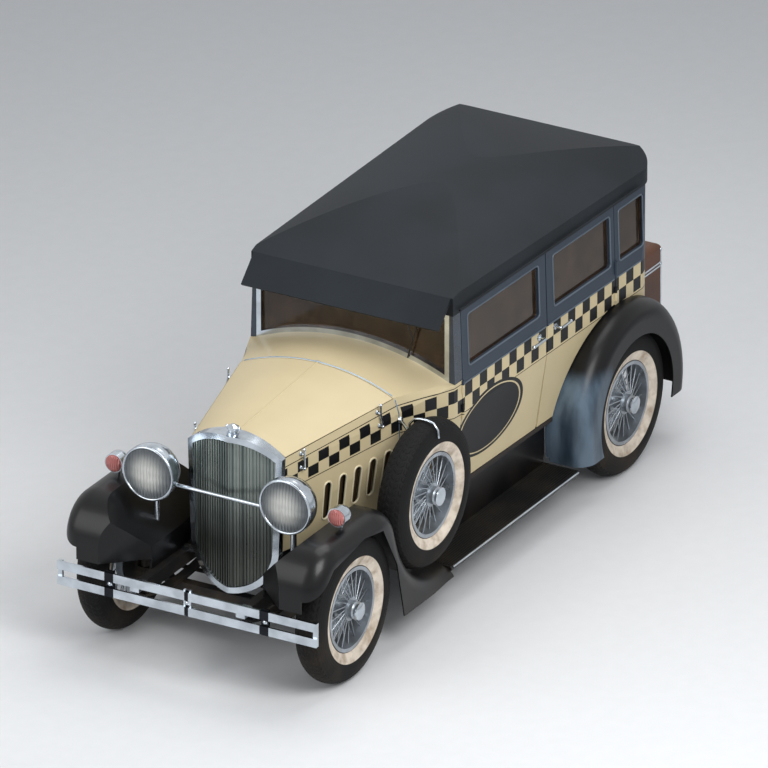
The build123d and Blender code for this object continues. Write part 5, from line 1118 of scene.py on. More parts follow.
@dataclass
class Bodywork:
    """The cabin's panels, doors and roof, with their mouldings, handles and window reveals."""

    belt_front: float = 0.636
    belt_back: float = 0.690
    front_x: float = 0.262
    back_x: float = -1.800
    moulding_z: float = 1.171
    moulding_radius: float = 0.005
    handle_z: float = 1.135
    handle_reach: float = 0.042
    handle_length: float = 0.115
    handle_plate: tuple[Point, ...] = (
        (-0.002, 0), (-0.002, 0.021), (0.006, 0.019), (0.010, 0.009), (0.010, 0)
    )
    stem_radius: float = 0.0075
    stem_bend: float = 0.012
    stem_share: float = 0.8
    grip_radius: float = 0.0085
    grip_curve: float = 0.008
    grip_droop: float = 0.006
    knob_radius: float = 0.0105
    reveal_inset: float = 0.001
    window_z: tuple[float, float] = (1.255, 1.560)
    window_corner: float = 0.022
    top_tuck: float = 0.014
    tuck_from_z: float = 1.2
    tuck_height: float = 0.406
    rail_x: tuple[float, ...] = (0.30, -0.4, -1.1, -1.60)
    rail_z: float = 1.628
    rail_side_z: float = 1.6
    rail_out: float = 0.020
    rail_radius: float = 0.006
    band_x: float = 0.716
    band_middle_z: float = 0.9
    band_steps: int = 60
    band_from: float = -15.0
    band_sweep: float = 210.0
    band_radius: float = 0.004
    band_reach: float = 1.2

    def side_y(self, x: float, z: float = 1.1) -> float:
        """Return the half width of the cabin's side at a place.

        Args:
            x: The place along the car.
            z: Its height.

        Returns:
            The half width.
        """
        share = (self.front_x - x) / (self.front_x - self.back_x)
        tuck = self.top_tuck * max(0.0, z - self.tuck_from_z) / self.tuck_height
        return self.belt_front + share * (self.belt_back - self.belt_front) - tuck

    def build(self, dresser: Dresser) -> None:
        """Paint the panels and add the trim.

        Args:
            dresser: Finds CAD nodes, finishes them and takes new pieces.
        """
        dresser.coat(belt_paint("cabin_paint", Belt.SIDE), "body_sides", "center_posts", "door_rl", "door_rr")
        dresser.coat(belt_paint("front_door_paint", Belt.DOOR), "door_fl", "door_fr")
        dresser.coat(belt_paint("back_paint", Belt.BACK), "back_panel")
        dresser.coat(COWL_PAINT, "cowl")
        dresser.coat(HOOD_PAINT, "hood_side_l", "hood_side_r", "hood_top_l", "hood_top_r")
        dresser.coat(CHARCOAL_TOP, "roof", "sun_visor")
        dresser.coat(FLOOR_MAT, "floor")
        # Columns: body stem, moulding from, moulding to, window from, window to, handle place, handle's way
        panels = (
            ("door_f", -0.620, 0.250, -0.555, 0.190, -0.545, 1),
            ("door_r", -1.340, -0.641, -1.310, -0.705, -0.715, -1),
            ("chassis", -1.625, -1.372, -1.660, -1.400, None, 0),
        )
        for stem, back, front, pane_back, pane_front, handle_x, way in panels:
            for letter, side in SIDES:
                body = stem if stem == "chassis" else stem + letter
                tag = f"quarter_{letter}" if stem == "chassis" else stem + letter
                ends = [(x, side * self.side_y(x), self.moulding_z) for x in (back, front)]
                # The mouldings and window reveals take the lighter reveal colour, a painted highlight.
                strip = Form().tube(ends, self.moulding_radius)
                dresser.add(f"{tag}_moulding", strip, HIGHLIT_REVEAL, body, "body_cream")
                rim = Form().tube(self.reveal(pane_back, pane_front, side), self.moulding_radius, 8, True)
                dresser.add(f"{tag}_reveal", rim, HIGHLIT_REVEAL, body, "body_cream")
                if way:
                    dresser.bright(f"{tag}_handle", self.handle(handle_x, way, side), body)
        self.drip_rail(dresser)
        self.seam_band(dresser)

    def reveal(self, back: float, front: float, side: int) -> list[Point]:
        """Return the points round a window's rounded edge.

        Args:
            back: The window's back edge.
            front: Its front edge.
            side: 1 on the left, -1 on the right.

        Returns:
            The points in order.
        """
        low, high = self.window_z
        corner = self.window_corner
        # Columns: corner's middle along the car, its middle upright, where its arc starts in quarter turns
        arcs = ((front - corner, high - corner, 0), (back + corner, high - corner, 1),
                (back + corner, low + corner, 2), (front - corner, low + corner, 3))
        points = []
        for x, z, quarter in arcs:
            for step in range(4):
                turn = (quarter + step / 3) * math.pi / 2
                place = (x + corner * math.cos(turn), z + corner * math.sin(turn))
                points.append((place[0], side * (self.side_y(*place) - self.reveal_inset), place[1]))
        return points

    def handle(self, x: float, way: int, side: int) -> Form:
        """Return a lever handle on its round plate.

        Args:
            x: Where the plate is along the car.
            way: 1 for a lever that points forwards, -1 for one that points back.
            side: 1 on the left, -1 on the right.

        Returns:
            The handle.
        """
        y = side * self.side_y(x)
        out = side * self.handle_reach
        z = self.handle_z
        form = Form().lathe(self.handle_plate, (x, y, z), (0, side, 0), 24)
        stem = ((x, y, z), (x, y + out * self.stem_share, z), (x + way * self.stem_bend, y + out, z))
        form.tube(stem, self.stem_radius)
        grip = []
        for share in (0.0, 0.25, 0.5, 0.75, 1.0):
            inward = side * self.grip_curve * share**2
            along = x + way * share * self.handle_length
            grip.append((along, y + out - inward, z - self.grip_droop * share))
        return form.tube(grip, self.grip_radius).ball(grip[-1], self.knob_radius)

    def drip_rail(self, dresser: Dresser) -> None:
        """Add the gutter along the roof's sides.

        Args:
            dresser: Finds CAD nodes, finishes them and takes new pieces.
        """
        for letter, side in SIDES:
            spots = [(x, self.side_y(x, self.rail_side_z) + self.rail_out) for x in self.rail_x]
            points = [(x, side * y, self.rail_z) for x, y in spots]
            rail = Form().tube(points, self.rail_radius)
            dresser.add(f"drip_rail_{letter}", rail, CHARCOAL_TOP, "chassis", "roof_charcoal")

    def seam_band(self, dresser: Dresser) -> None:
        """Add the bright band over the cowl, just behind the hood.

        Args:
            dresser: Finds CAD nodes, finishes them and takes new pieces.
        """
        points = []
        for step in range(self.band_steps + 1):
            turn = math.radians(self.band_from + self.band_sweep * step / self.band_steps)
            out = Vector((0, math.cos(turn), math.sin(turn)))
            start = Vector((self.band_x, 0, self.band_middle_z)) + out * self.band_reach
            place = dresser.touch("cowl", start, -out)
            if place is not None:
                points.append(place)
        dresser.add("seam_band", Form().tube(points, self.band_radius, 8), BAND_BLUE, "chassis", "chrome")


@dataclass
class Glazing:
    """Window glass and the windscreen's bright frame, with a wiper."""

    wiper_x: float = 0.362
    wiper_y: float = 0.33
    wiper_top_z: float = 1.585
    pivot: tuple[Point, ...] = ((-0.012, 0), (-0.012, 0.014), (0.012, 0.011), (0.012, 0))
    arm_back: float = 0.008
    arm_out: float = 0.05
    arm_drop: float = 0.17
    arm_radius: float = 0.0035
    blade_back: float = 0.004
    blade_lean: tuple[float, float] = (0.02, 0.07)
    blade_ends: tuple[float, float] = (-1.6, 1.1)
    blade_radius: float = 0.005

    def build(self, dresser: Dresser) -> None:
        """Tint the glass and hang the wiper.

        Args:
            dresser: Finds CAD nodes, finishes them and takes new pieces.
        """
        dresser.coat(BROWN_GLASS, "window_glass", "glass_fl", "glass_fr", "glass_rl", "glass_rr")
        dresser.coat(SCREEN_FRAME, "windshield_frame")
        top = (self.wiper_x, self.wiper_y, self.wiper_top_z)
        low = (self.wiper_x - self.arm_back, self.wiper_y + self.arm_out, self.wiper_top_z - self.arm_drop)
        form = Form().lathe(self.pivot, top, (1, 0, 0), 16).tube((top, low), self.arm_radius, 8)
        across, up = self.blade_lean
        blade_x = low[0] - self.blade_back
        ends = [(blade_x, low[1] + across * step, low[2] + up * step) for step in self.blade_ends]
        form.tube(ends, self.blade_radius, 6)
        dresser.add("wiper", form, CONTROL_BLACK, "chassis", "control_black")


# The brown blades that close the louvre slots are painted shade for the dark inside of each slot.
LOUVRE_SHADE = Finish("louvre_painted_shade", srgb(74, 58, 36), 0.5, Grain.PAINT, variation=0.4)
PALE_CREAM = Finish("pale_cream", srgb(228, 216, 182), 0.4, Grain.PAINT, coat=0.05, variation=0.1)


@dataclass
class FrontEnd:
    """Radiator, bumper, hood catches and louvres."""

    cap_x: float = 1.622
    cap_profile: tuple[Point, ...] = (
        (-0.004, 0), (-0.004, 0.034), (0.008, 0.034), (0.010, 0.027), (0.022, 0.027),
        (0.026, 0.033), (0.036, 0.033), (0.044, 0.020), (0.050, 0.010), (0.052, 0),
    )
    ear_y: float = 0.036
    ear_rise: float = 0.031
    ear_radius: float = 0.011
    bolt_head: tuple[Point, ...] = ((0, 0), (0, 0.015), (0.005, 0.012), (0.008, 0.005), (0.009, 0))
    bumper_clamp_x: float = 2.112
    bumper_clamp_y: tuple[float, ...] = (-0.48, 0.0, 0.48)
    bumper_middle_z: float = 0.4815
    slots: int = 5
    slot_x: float = 1.250
    slot_pitch: float = 0.112
    slot_half: float = 0.028
    slot_z: float = 0.822
    slot_rise: float = 0.068
    slot_half_height: float = 0.1125
    backing_depth: float = 0.013
    backing_margin: float = 0.008
    blade_lean: float = 0.008
    blade_thickness: float = 0.002
    slot_clear: float = 0.012
    frame_radius: float = 0.006
    arc_steps: int = 6
    # Columns: place along the car, top, upper foot, lower foot
    catches: tuple[tuple[float, float, float, float], ...] = (
        (0.862, 1.252, 1.205, 1.130),
        (1.448, 1.196, 1.168, 1.085),
    )
    catch_reach: float = 0.022
    catch_foot: tuple[Point, ...] = ((-0.001, 0), (-0.001, 0.014), (0.006, 0.011), (0.006, 0))
    foot_radius: float = 0.006
    bar_radius: float = 0.0065
    low_knob: float = 0.010
    top_knob: float = 0.009

    def build(self, dresser: Dresser) -> None:
        """Finish the nodes and add the fittings.

        Args:
            dresser: Finds CAD nodes, finishes them and takes new pieces.
        """
        dresser.coat(BUMPER_CHROME, "front_bumper")
        dresser.coat(CHROME, "radiator_shell")
        dresser.coat(GRILLE_BARS, "radiator_grille")
        self.filler_cap(dresser)
        self.bumper_bolts(dresser)
        for letter, side in SIDES:
            self.louvres(dresser, letter, side)
            for index, (x, top, *feet) in enumerate(self.catches):
                catch = self.catch(dresser, letter, side, x, top, feet)
                dresser.bright(f"hood_catch_{letter}{index}", catch)

    def filler_cap(self, dresser: Dresser) -> None:
        """Add the radiator's filler cap.

        Args:
            dresser: Finds CAD nodes, finishes them and takes new pieces.
        """
        place = dresser.touch("radiator_shell", (self.cap_x, 0, 2), (0, 0, -1))
        form = Form().lathe(self.cap_profile, place, (0, 0, 1))
        for side in (1, -1):
            form.ball((place.x, side * self.ear_y, place.z + self.ear_rise), self.ear_radius)
        dresser.bright("filler_cap", form)

    def bumper_bolts(self, dresser: Dresser) -> None:
        """Add the round bolt heads between the bumper's bars.

        Args:
            dresser: Finds CAD nodes, finishes them and takes new pieces.
        """
        form = Form()
        for y in self.bumper_clamp_y:
            form.lathe(self.bolt_head, (self.bumper_clamp_x, y, self.bumper_middle_z), (1, 0, 0), 20)
        dresser.bright("bumper_bolts", form)

    def louvres(self, dresser: Dresser, letter: str, side: int) -> None:
        """Close each slot of a hood side with a leaning blade in painted shade, and put a narrow frame round
        it.

        Args:
            dresser: Finds CAD nodes, finishes them and takes new pieces.
            letter: The side's letter.
            side: 1 on the left, -1 on the right.
        """
        blades = Form()
        frames = Form()
        straight = self.slot_half_height - self.slot_half
        for index in range(self.slots):
            x = self.slot_x - index * self.slot_pitch
            z = self.slot_z + index * self.slot_pitch * self.slot_rise
            ring = []
            for step in range(2 * self.arc_steps + 2):
                upper = step <= self.arc_steps
                turn = math.pi * (step if upper else step - 1) / self.arc_steps
                spot_x = x + self.slot_half * math.cos(turn)
                spot_z = z + (straight if upper else -straight) + self.slot_half * math.sin(turn)
                ring.append((spot_x, self.skin_y(dresser, letter, side, spot_x, spot_z, x), spot_z))
            frames.tube(ring, self.frame_radius, 8, True)
            wide = self.slot_half + self.backing_margin
            tall = self.slot_half_height + self.backing_margin
            corners = []
            for across, up in ((-1, -1), (1, -1), (1, 1), (-1, 1)):
                spot_z = z + up * tall
                y = self.skin_y(dresser, letter, side, x + across * wide, spot_z, x)
                depth = self.backing_depth + self.blade_lean * (1 - across) / 2
                corners.append((x + across * wide, y - side * depth, spot_z))
            blades.prism(corners, (0, -side * self.blade_thickness, 0))
        dresser.add(f"louvre_blades_{letter}", blades, LOUVRE_SHADE, "chassis", "body_cream")
        dresser.add(f"louvre_frames_{letter}", frames, PALE_CREAM, "chassis", "body_cream")

    def skin_y(self, dresser: Dresser, letter: str, side: int, x: float, z: float, slot_x: float) -> float:
        """Return how far out a hood side's skin is at a place in or beside a slot.

        Args:
            dresser: Finds the skin.
            letter: The side's letter.
            side: 1 on the left, -1 on the right.
            x: The place along the car.
            z: Its height.
            slot_x: The slot's middle.

        Returns:
            The skin's y, read on both sides of the slot and shared out between them.
        """
        clear = self.slot_half + self.slot_clear
        found = []
        for way in (-1, 1):
            start = (slot_x + way * clear, side, z)
            found.append(dresser.touch(f"hood_side_{letter}", start, (0, -side, 0)).y)
        share = (x - slot_x + clear) / (2 * clear)
        return found[0] + share * (found[1] - found[0])

    def catch(
        self, dresser: Dresser, letter: str, side: int, x: float, top: float, feet: Sequence[float]
    ) -> Form:
        """Return a hood catch: a bar on two feet that stands off past the edge of the hood's top.

        Args:
            dresser: Finds CAD nodes, finishes them and takes new pieces.
            letter: The side's letter.
            side: 1 on the left, -1 on the right.
            x: The place along the car.
            top: The height of the bar's upper end.
            feet: The heights of its upper and lower foot.

        Returns:
            The catch.
        """
        ends = [dresser.touch(f"hood_side_{letter}", (x, side, z), (0, -side, 0)) for z in feet]
        out = Vector((0, side * self.catch_reach, 0))
        form = Form()
        for end in ends:
            form.lathe(self.catch_foot, end, (0, side, 0), 16).tube((end, end + out), self.foot_radius, 8)
        tip = Vector((x, ends[0].y + out.y, top))
        form.tube((ends[1] + out, ends[0] + out, tip), self.bar_radius, 8)
        return form.ball(ends[1] + out, self.low_knob).ball(tip, self.top_knob)


@dataclass
class Lamps:
    """Headlamps, marker lamps and tail lamps with their rims and lenses."""

    rim_x: float = 1.803
    rim_radius: float = 0.151
    rim_thickness: float = 0.008
    round_steps: int = 48
    lamp_y: float = 0.424
    lamp_z: float = 1.021
    marker_place: tuple[float, float] = (0.690, 0.985)
    marker_radius: float = 0.049
    tail_place: tuple[float, float] = (0.612, 0.652)
    tail_radius: float = 0.046
    dome_rise: float = 0.022
    dome_steps: int = 6
    dome_foot: float = -0.001
    ahead: float = 3.0
    bowl_steps: int = 60
    bowl_step: float = 0.004
    above: float = 0.5
    skin_gap: float = 0.0003
    skin: float = 0.0012

    def build(self, dresser: Dresser) -> None:
        """Finish the lamps and add rims and domed lenses.

        Args:
            dresser: Finds CAD nodes, finishes them and takes new pieces.
        """
        dresser.coat(CHROME, "headlamps", "marker_lamps")
        dresser.coat(LENS_GLASS, "headlamp_lenses")
        for letter, side in SIDES:
            ring = []
            for step in range(self.round_steps):
                turn = 2 * math.pi * step / self.round_steps
                across = self.rim_radius * math.cos(turn)
                up = self.rim_radius * math.sin(turn)
                ring.append((self.rim_x, side * self.lamp_y + across, self.lamp_z + up))
            dresser.bright(f"lamp_rim_{letter}", Form().tube(ring, self.rim_thickness, 10, True))
            self.bowl(dresser, letter, side)
            self.dome(dresser, f"marker_lens_{letter}", side, self.marker_place, self.marker_radius, 1)
            self.dome(dresser, f"tail_lens_{letter}", side, self.tail_place, self.tail_radius, -1)

    def bowl(self, dresser: Dresser, letter: str, side: int) -> None:
        """Put a smooth thin skin over a headlamp's bowl, in the bowl's own form.

        Args:
            dresser: Finds CAD nodes, finishes them and takes new pieces.
            letter: The side's letter.
            side: 1 on the left, -1 on the right.
        """
        sizes = []
        for step in range(1, self.bowl_steps):
            along = step * self.bowl_step
            start = (self.rim_x - along, side * self.lamp_y, self.lamp_z + self.above)
            place = dresser.touch("headlamps", start, (0, 0, -1))
            if place is None or place.z - self.lamp_z < self.bowl_step:
                break
            sizes.append((along, place.z - self.lamp_z + self.skin_gap))
        pole = sizes[-1][0] + self.bowl_step / 2
        inner = [(pole, 0.0)] + sizes[::-1]
        outer = [(along, radius + self.skin) for along, radius in sizes] + [(pole + self.skin, 0.0)]
        middle = (self.rim_x, side * self.lamp_y, self.lamp_z)
        skin = Form().lathe(inner + outer, middle, (-1, 0, 0), self.round_steps)
        dresser.bright(f"headlamp_skin_{letter}", skin)

    def dome(
        self, dresser: Dresser, name: str, side: int, spot: tuple[float, float], radius: float, way: int
    ) -> None:
        """Add one lens on a small lamp's flat end.

        Args:
            dresser: Finds CAD nodes, finishes them and takes new pieces.
            name: The lens's name.
            side: 1 on the left, -1 on the right.
            spot: The lamp's place across the car and its height.
            radius: The lens's radius.
            way: 1 for a lamp that faces forwards, -1 for one that faces back.
        """
        y, z = spot
        place = dresser.touch("marker_lamps", (way * self.ahead, side * y, z), (-way, 0, 0))
        turns = [math.pi / 2 * step / self.dome_steps for step in range(self.dome_steps)]
        dome = [(self.dome_rise * math.sin(turn), radius * math.cos(turn)) for turn in turns]
        foot = [(self.dome_foot, 0), (self.dome_foot, radius)]
        lens = Form().lathe(foot + dome + [(self.dome_rise, 0)], place, (way, 0, 0))
        dresser.add(name, lens, ROSE_GLASS, "chassis", "lamp_glass")


@dataclass
class WheelSet:
    """Tyres, wire wheels, their hub caps, and the spare with its strap."""

    front_x: float = 1.625
    rear_x: float = -1.395
    axle_z: float = 0.419
    spare: Point = (0.776, 0.692, 0.752)
    tyre_radius: float = 0.419
    car_half: float = 0.802
    beside: float = 1.5
    # Columns: across from the spare's middle, up from its top
    strap_bends: tuple[tuple[float, float], ...] = (
        (-0.096, -0.075), (-0.088, -0.030), (-0.060, 0.004), (-0.020, 0.013),
        (0.020, 0.013), (0.060, 0.004), (0.086, -0.030), (0.091, -0.075),
    )
    strap_radius: float = 0.007
    arm_radius: float = 0.009
    arm_back: float = 0.07
    arm_drop: float = 0.06
    arm_foot: tuple[Point, ...] = ((-0.002, 0), (-0.002, 0.022), (0.008, 0.016), (0.008, 0))
    cap_profile: tuple[Point, ...] = (
        (-0.002, 0), (-0.002, 0.052), (0.006, 0.050), (0.014, 0.036), (0.017, 0.016), (0.018, 0)
    )

    def build(self, dresser: Dresser) -> None:
        """Finish each wheel and add its cap, then the spare's strap.

        Args:
            dresser: Finds CAD nodes, finishes them and takes new pieces.
        """
        for corner in ("fl", "fr", "rl", "rr"):
            x = self.front_x if corner[0] == "f" else self.rear_x
            side = 1 if corner[1] == "l" else -1
            name = f"wheel_{corner}"
            self.wheel(dresser, f"tyre_{corner}", name, name, (x, 0, self.axle_z), side)
        self.wheel(dresser, "spare_tyre", "spare_wheel", "chassis", self.spare, 1)
        self.strap(dresser)

    def wheel(self, dresser: Dresser, tyre: str, rim: str, body: str, centre: Point, side: int) -> None:
        """Finish one tyre and wheel, and put a cap on the hub.

        Args:
            dresser: Finds CAD nodes, finishes them and takes new pieces.
            tyre: The tyre's node.
            rim: The wheel's node.
            body: The body that the cap rides on.
            centre: The wheel's middle.
            side: 1 on the left, -1 on the right.
        """
        look = {"dust": 0.15, "specular": 0.2, "centre": centre}
        dresser.coat(TyreFinish(f"{tyre}_rubber", srgb(15, 15, 16), 0.7, Grain.CAST, **look), tyre)
        dresser.coat(WIRE_ENAMEL, rim)
        place = dresser.touch(rim, (centre[0], side * self.beside, centre[2]), (0, -side, 0))
        room = min(1.0, (self.car_half - abs(place.y)) / self.cap_profile[-1][0])
        profile = [(along * room, radius) for along, radius in self.cap_profile]
        dresser.bright(f"{rim}_cap", Form().lathe(profile, place, (0, side, 0)), body)

    def strap(self, dresser: Dresser) -> None:
        """Add the strap over the spare and the arm that holds it to the cowl.

        Args:
            dresser: Finds CAD nodes, finishes them and takes new pieces.
        """
        x, y, z = self.spare
        top = z + self.tyre_radius
        arc = [(x, y + across, top + up) for across, up in self.strap_bends]
        hold = dresser.touch("cowl", (x - self.arm_back, 1.0, top - self.arm_drop), (0, -1, 0))
        form = Form().tube(arc, self.strap_radius).tube((arc[0], hold), self.arm_radius)
        dresser.bright("spare_strap", form.lathe(self.arm_foot, hold, (0, 1, 0), 20))


@dataclass
class Boards:
    """Fenders and running boards, with rubber ribs and a bright edge."""

    middle_x: float = -0.10
    length: float = 1.38
    first_y: float = 0.553
    pitch: float = 0.0155
    ribs: int = 14
    rib_section: tuple[float, float] = (0.008, 0.004)
    top_z: float = 0.255
    edge_y: float = 0.767
    edge_drop: float = 0.004
    rib_lift: float = 0.001
    edge_radius: float = 0.006

    def build(self, dresser: Dresser) -> None:
        """Finish the fenders and boards, then lay the ribs and the edge strip.

        Args:
            dresser: Finds CAD nodes, finishes them and takes new pieces.
        """
        dresser.coat(BLACK_ENAMEL, "front_fenders", "running_boards")
        dresser.coat(REAR_FENDER_PAINTED_REFLECTION, "rear_fenders")
        for letter, side in SIDES:
            start = (self.middle_x, side * self.first_y, self.top_z + self.rib_lift)
            dresser.row(f"board_ribs_{letter}", RowItem.RIB, BLACK_RUBBER, "chassis", "fender_black",
                        Count=self.ribs, Start=start, Step=(0.0, side * self.pitch, 0.0),
                        Size=(self.length, *self.rib_section))
            reach = self.length / 2
            edge_z = self.top_z - self.edge_drop
            ends = [(self.middle_x + way * reach, side * self.edge_y, edge_z) for way in (-1, 1)]
            dresser.bright(f"board_edge_{letter}", Form().tube(ends, self.edge_radius))


@dataclass
class TrunkDress:
    """The trunk's hide, bright edges, clasps and nails."""

    back_x: float = -2.113
    front_x: float = -1.832
    half: float = 0.545
    low_z: float = 0.626
    seam_z: float = 0.935
    lid_top_z: float = 1.020
    strip: float = 0.006
    corner: float = 0.012
    band_gap: float = 0.010
    edge_gap: float = 0.004
    edge_inset: float = 0.003
    knob: float = 0.009
    clasp_y: tuple[float, ...] = (-0.30, 0.30)
    clasp_half: float = 0.022
    clasp_out: float = 0.009
    clasp_in: float = 0.002
    clasp_bevel: float = 0.003
    # Foot and top from the seam, below it and above it
    clasp_body: tuple[float, float] = (-0.060, -0.004)
    clasp_lid: tuple[float, float] = (0.005, 0.032)
    nails: int = 22
    nail_first_y: float = -0.504
    nail_pitch: float = 0.048
    nail_size: Point = (0.008, 0.012, 0.012)
    nails_low: float = 0.022
    nails_high: float = 0.030

    def build(self, dresser: Dresser) -> None:
        """Finish the trunk and add its fittings, those of the lid on the lid.

        Args:
            dresser: Finds CAD nodes, finishes them and takes new pieces.
        """
        dresser.coat(TRUNK_HIDE, "trunk_body", "trunk_lid")
        seam = self.seam_z
        # Columns: body, band's height, corners' foot and top, clasp's foot and top from the seam
        parts = (
            ("chassis", seam - self.band_gap, self.low_z, seam - self.edge_gap, self.clasp_body),
            ("trunk_lid", seam + self.band_gap, seam + self.edge_gap, self.lid_top_z, self.clasp_lid),
        )
        for body, band_z, foot_z, top_z, clasp in parts:
            form = Form().tube(self.band(band_z), self.strip)
            if body == "chassis":
                form.tube(self.band(self.low_z), self.strip)
            for side in (1, -1):
                y = side * (self.half - self.edge_inset)
                corner = [(self.back_x + self.edge_inset, y, z) for z in (foot_z, top_z)]
                form.tube(corner, self.strip).ball(corner[0], self.knob).ball(corner[1], self.knob)
            for y in self.clasp_y:
                low = (self.back_x - self.clasp_out, y - self.clasp_half, seam + clasp[0])
                high = (self.back_x + self.clasp_in, y + self.clasp_half, seam + clasp[1])
                form.block(low, high, self.clasp_bevel)
            dresser.bright(f"trunk_trim_{body}", form, body)
        # Columns: end of the row's name, height
        rows = (("low", self.low_z + self.nails_low), ("high", seam - self.nails_high))
        for end, z in rows:
            dresser.row(f"trunk_nails_{end}", RowItem.STUD, CHROME, "chassis", "chrome", Count=self.nails,
                        Start=(self.back_x, self.nail_first_y, z), Step=(0.0, self.nail_pitch, 0.0),
                        Size=self.nail_size)

    def band(self, z: float) -> list[Point]:
        """Return the points round three sides of the trunk at a height.

        Args:
            z: The height.

        Returns:
            The points in order.
        """
        along = (self.front_x, self.back_x + self.corner, self.back_x)
        left = list(zip(along, (self.half, self.half, self.half - self.corner)))
        return [(x, y, z) for x, y in left] + [(x, -y, z) for x, y in reversed(left)]


@dataclass
class Bench:
    """One bench seat: a base, a padded cushion and a padded back."""

    name: str
    back_x: float
    front_x: float
    half: float
    floor_z: float
    top_z: float
    cushion_z: float = 0.905
    pad: float = 0.125
    back_depth: float = 0.15
    rake: float = 0.07
    channels: int = 8
    channel_depth: float = 0.010
    channel_width: float = 0.012
    swell: float = 0.012
    slack: float = 0.004
    base_inset: float = 0.005
    base_setback: float = 0.03
    base_lap: float = 0.01
    base_bevel: float = 0.012
    cushion_tuck: float = 0.02
    pad_lift: float = 0.012
    rounding: float = 0.035
    frames: int = 20
    voxel: float = 0.018
    pressure: float = 4.0

    def build(self, dresser: Dresser) -> None:
        """Replace the plain bench.

        Args:
            dresser: Finds CAD nodes, finishes them and takes new pieces.
        """
        seat_x = self.back_x + self.back_depth
        under_z = self.cushion_z - self.pad
        inset = self.swell + self.slack
        wide = self.half - self.base_inset
        low = (self.back_x + self.base_inset, -wide, self.floor_z)
        high = (self.front_x - self.base_setback, wide, under_z + self.base_lap)
        base = Form().block(low, high, self.base_bevel)
        made = dresser.add(f"{self.name}_base", base, SEAT_HIDE, "chassis", "seat_leather")
        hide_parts(self.name)
        low_z = under_z + self.pad_lift
        high = (self.front_x - inset, self.half - inset, self.cushion_z - inset)
        cushion = Form().block((seat_x - self.cushion_tuck, inset - self.half, low_z), high, self.rounding)
        self.padded(dresser, "cushion", cushion, Vector((0, 0, 1)))
        lean = self.rake * (under_z - self.floor_z) / (self.top_z - self.floor_z)
        outline = (
            (self.back_x - lean + inset, low_z),
            (seat_x - lean - inset, low_z),
            (seat_x - self.rake - inset, self.top_z - inset),
            (self.back_x - self.rake + inset, self.top_z - inset),
        )
        push = (0, 2 * (self.half - inset), 0)
        back = Form().prism([(x, inset - self.half, z) for x, z in outline], push, self.rounding)
        self.padded(dresser, "back", back, Vector((1, 0, 0.2)).normalized())

    def padded(self, dresser: Dresser, part: str, form: Form, face: Vector) -> None:
        """Swell a pad, press the sewn channels into its face and hand it in.

        Args:
            dresser: Finds CAD nodes, finishes them and takes new pieces.
            part: Which part of the bench it is.
            form: The pad before it swells.
            face: The way that the sewn face looks.
        """
        name = f"{self.name}_{part}"
        holder = scene_object(f"{name}_rough", form.mesh(f"{name}_rough"))
        remesh = holder.modifiers.new("even", "REMESH")
        remesh.mode = "VOXEL"
        remesh.voxel_size = self.voxel
        holder.data = plain_mesh(holder)
        self.inflate(holder)
        pitch = 2 * self.half / self.channels
        for vertex in holder.data.vertices:
            off = (vertex.co.y / pitch + 0.5) % 1.0 - 0.5
            facing = max(0.0, vertex.normal.dot(face))
            depth = self.channel_depth * facing * math.exp(-((off * pitch / self.channel_width) ** 2))
            vertex.co -= vertex.normal * depth
        soft = holder.modifiers.new("soft", "SUBSURF")
        soft.levels = 1
        soft.render_levels = 1
        mesh = plain_mesh(holder)
        bpy.data.objects.remove(holder)
        for polygon in mesh.polygons:
            polygon.use_smooth = True
        made = dresser.piece(name, mesh, SEAT_HIDE, "chassis")
        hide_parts(self.name)

    def inflate(self, holder: bpy.types.Object) -> None:
        """Blow the pad up a little with a cloth run, and cap how far it moves.

        Args:
            holder: The object with the pad's mesh.
        """
        rest = [vertex.co.copy() for vertex in holder.data.vertices]
        cloth = holder.modifiers.new("swell", "CLOTH")
        cloth.settings.use_pressure = True
        cloth.settings.uniform_pressure_force = self.pressure
        cloth.settings.effector_weights.gravity = 0.0
        cloth.point_cache.frame_start = 1
        cloth.point_cache.frame_end = self.frames
        scene = bpy.context.scene
        for frame_number in range(1, self.frames + 1):
            scene.frame_set(frame_number)
        holder.data = plain_mesh(holder)
        scene.frame_set(1)
        for vertex, before in zip(holder.data.vertices, rest):
            shift = vertex.co - before
            if shift.length > self.swell:
                vertex.co = before + shift.normalized() * self.swell


@dataclass
class Seats:
    """The front and rear benches."""

    benches: tuple[Bench, ...] = (
        Bench("front_seat", -0.56, -0.02, 0.505, 0.54, 1.33),
        Bench("rear_seat", -1.675, -1.04, 0.53, 0.615, 1.40),
    )

    def build(self, dresser: Dresser) -> None:
        """Build both benches."""
        for bench in self.benches:
            bench.build(dresser)


@dataclass
class Underside:
    """Frame, axles, steering linkage, engine, exhaust and controls."""

    black: tuple[str, ...] = ("chassis_frame", "frame_members", "front_axle", "rear_axle", "leaf_springs",
                              "knuckle_l", "knuckle_r", "tie_rod", "trunk_rack")

    def build(self, dresser: Dresser) -> None:
        """Finish the nodes.

        Args:
            dresser: Finds CAD nodes, finishes them and takes new pieces.
        """
        dresser.coat(FRAME_BLACK, *self.black)
        dresser.coat(ENGINE_IRON, "engine")
        dresser.coat(PIPE_STEEL, "exhaust")
        dresser.coat(CONTROL_BLACK, "driving_controls")


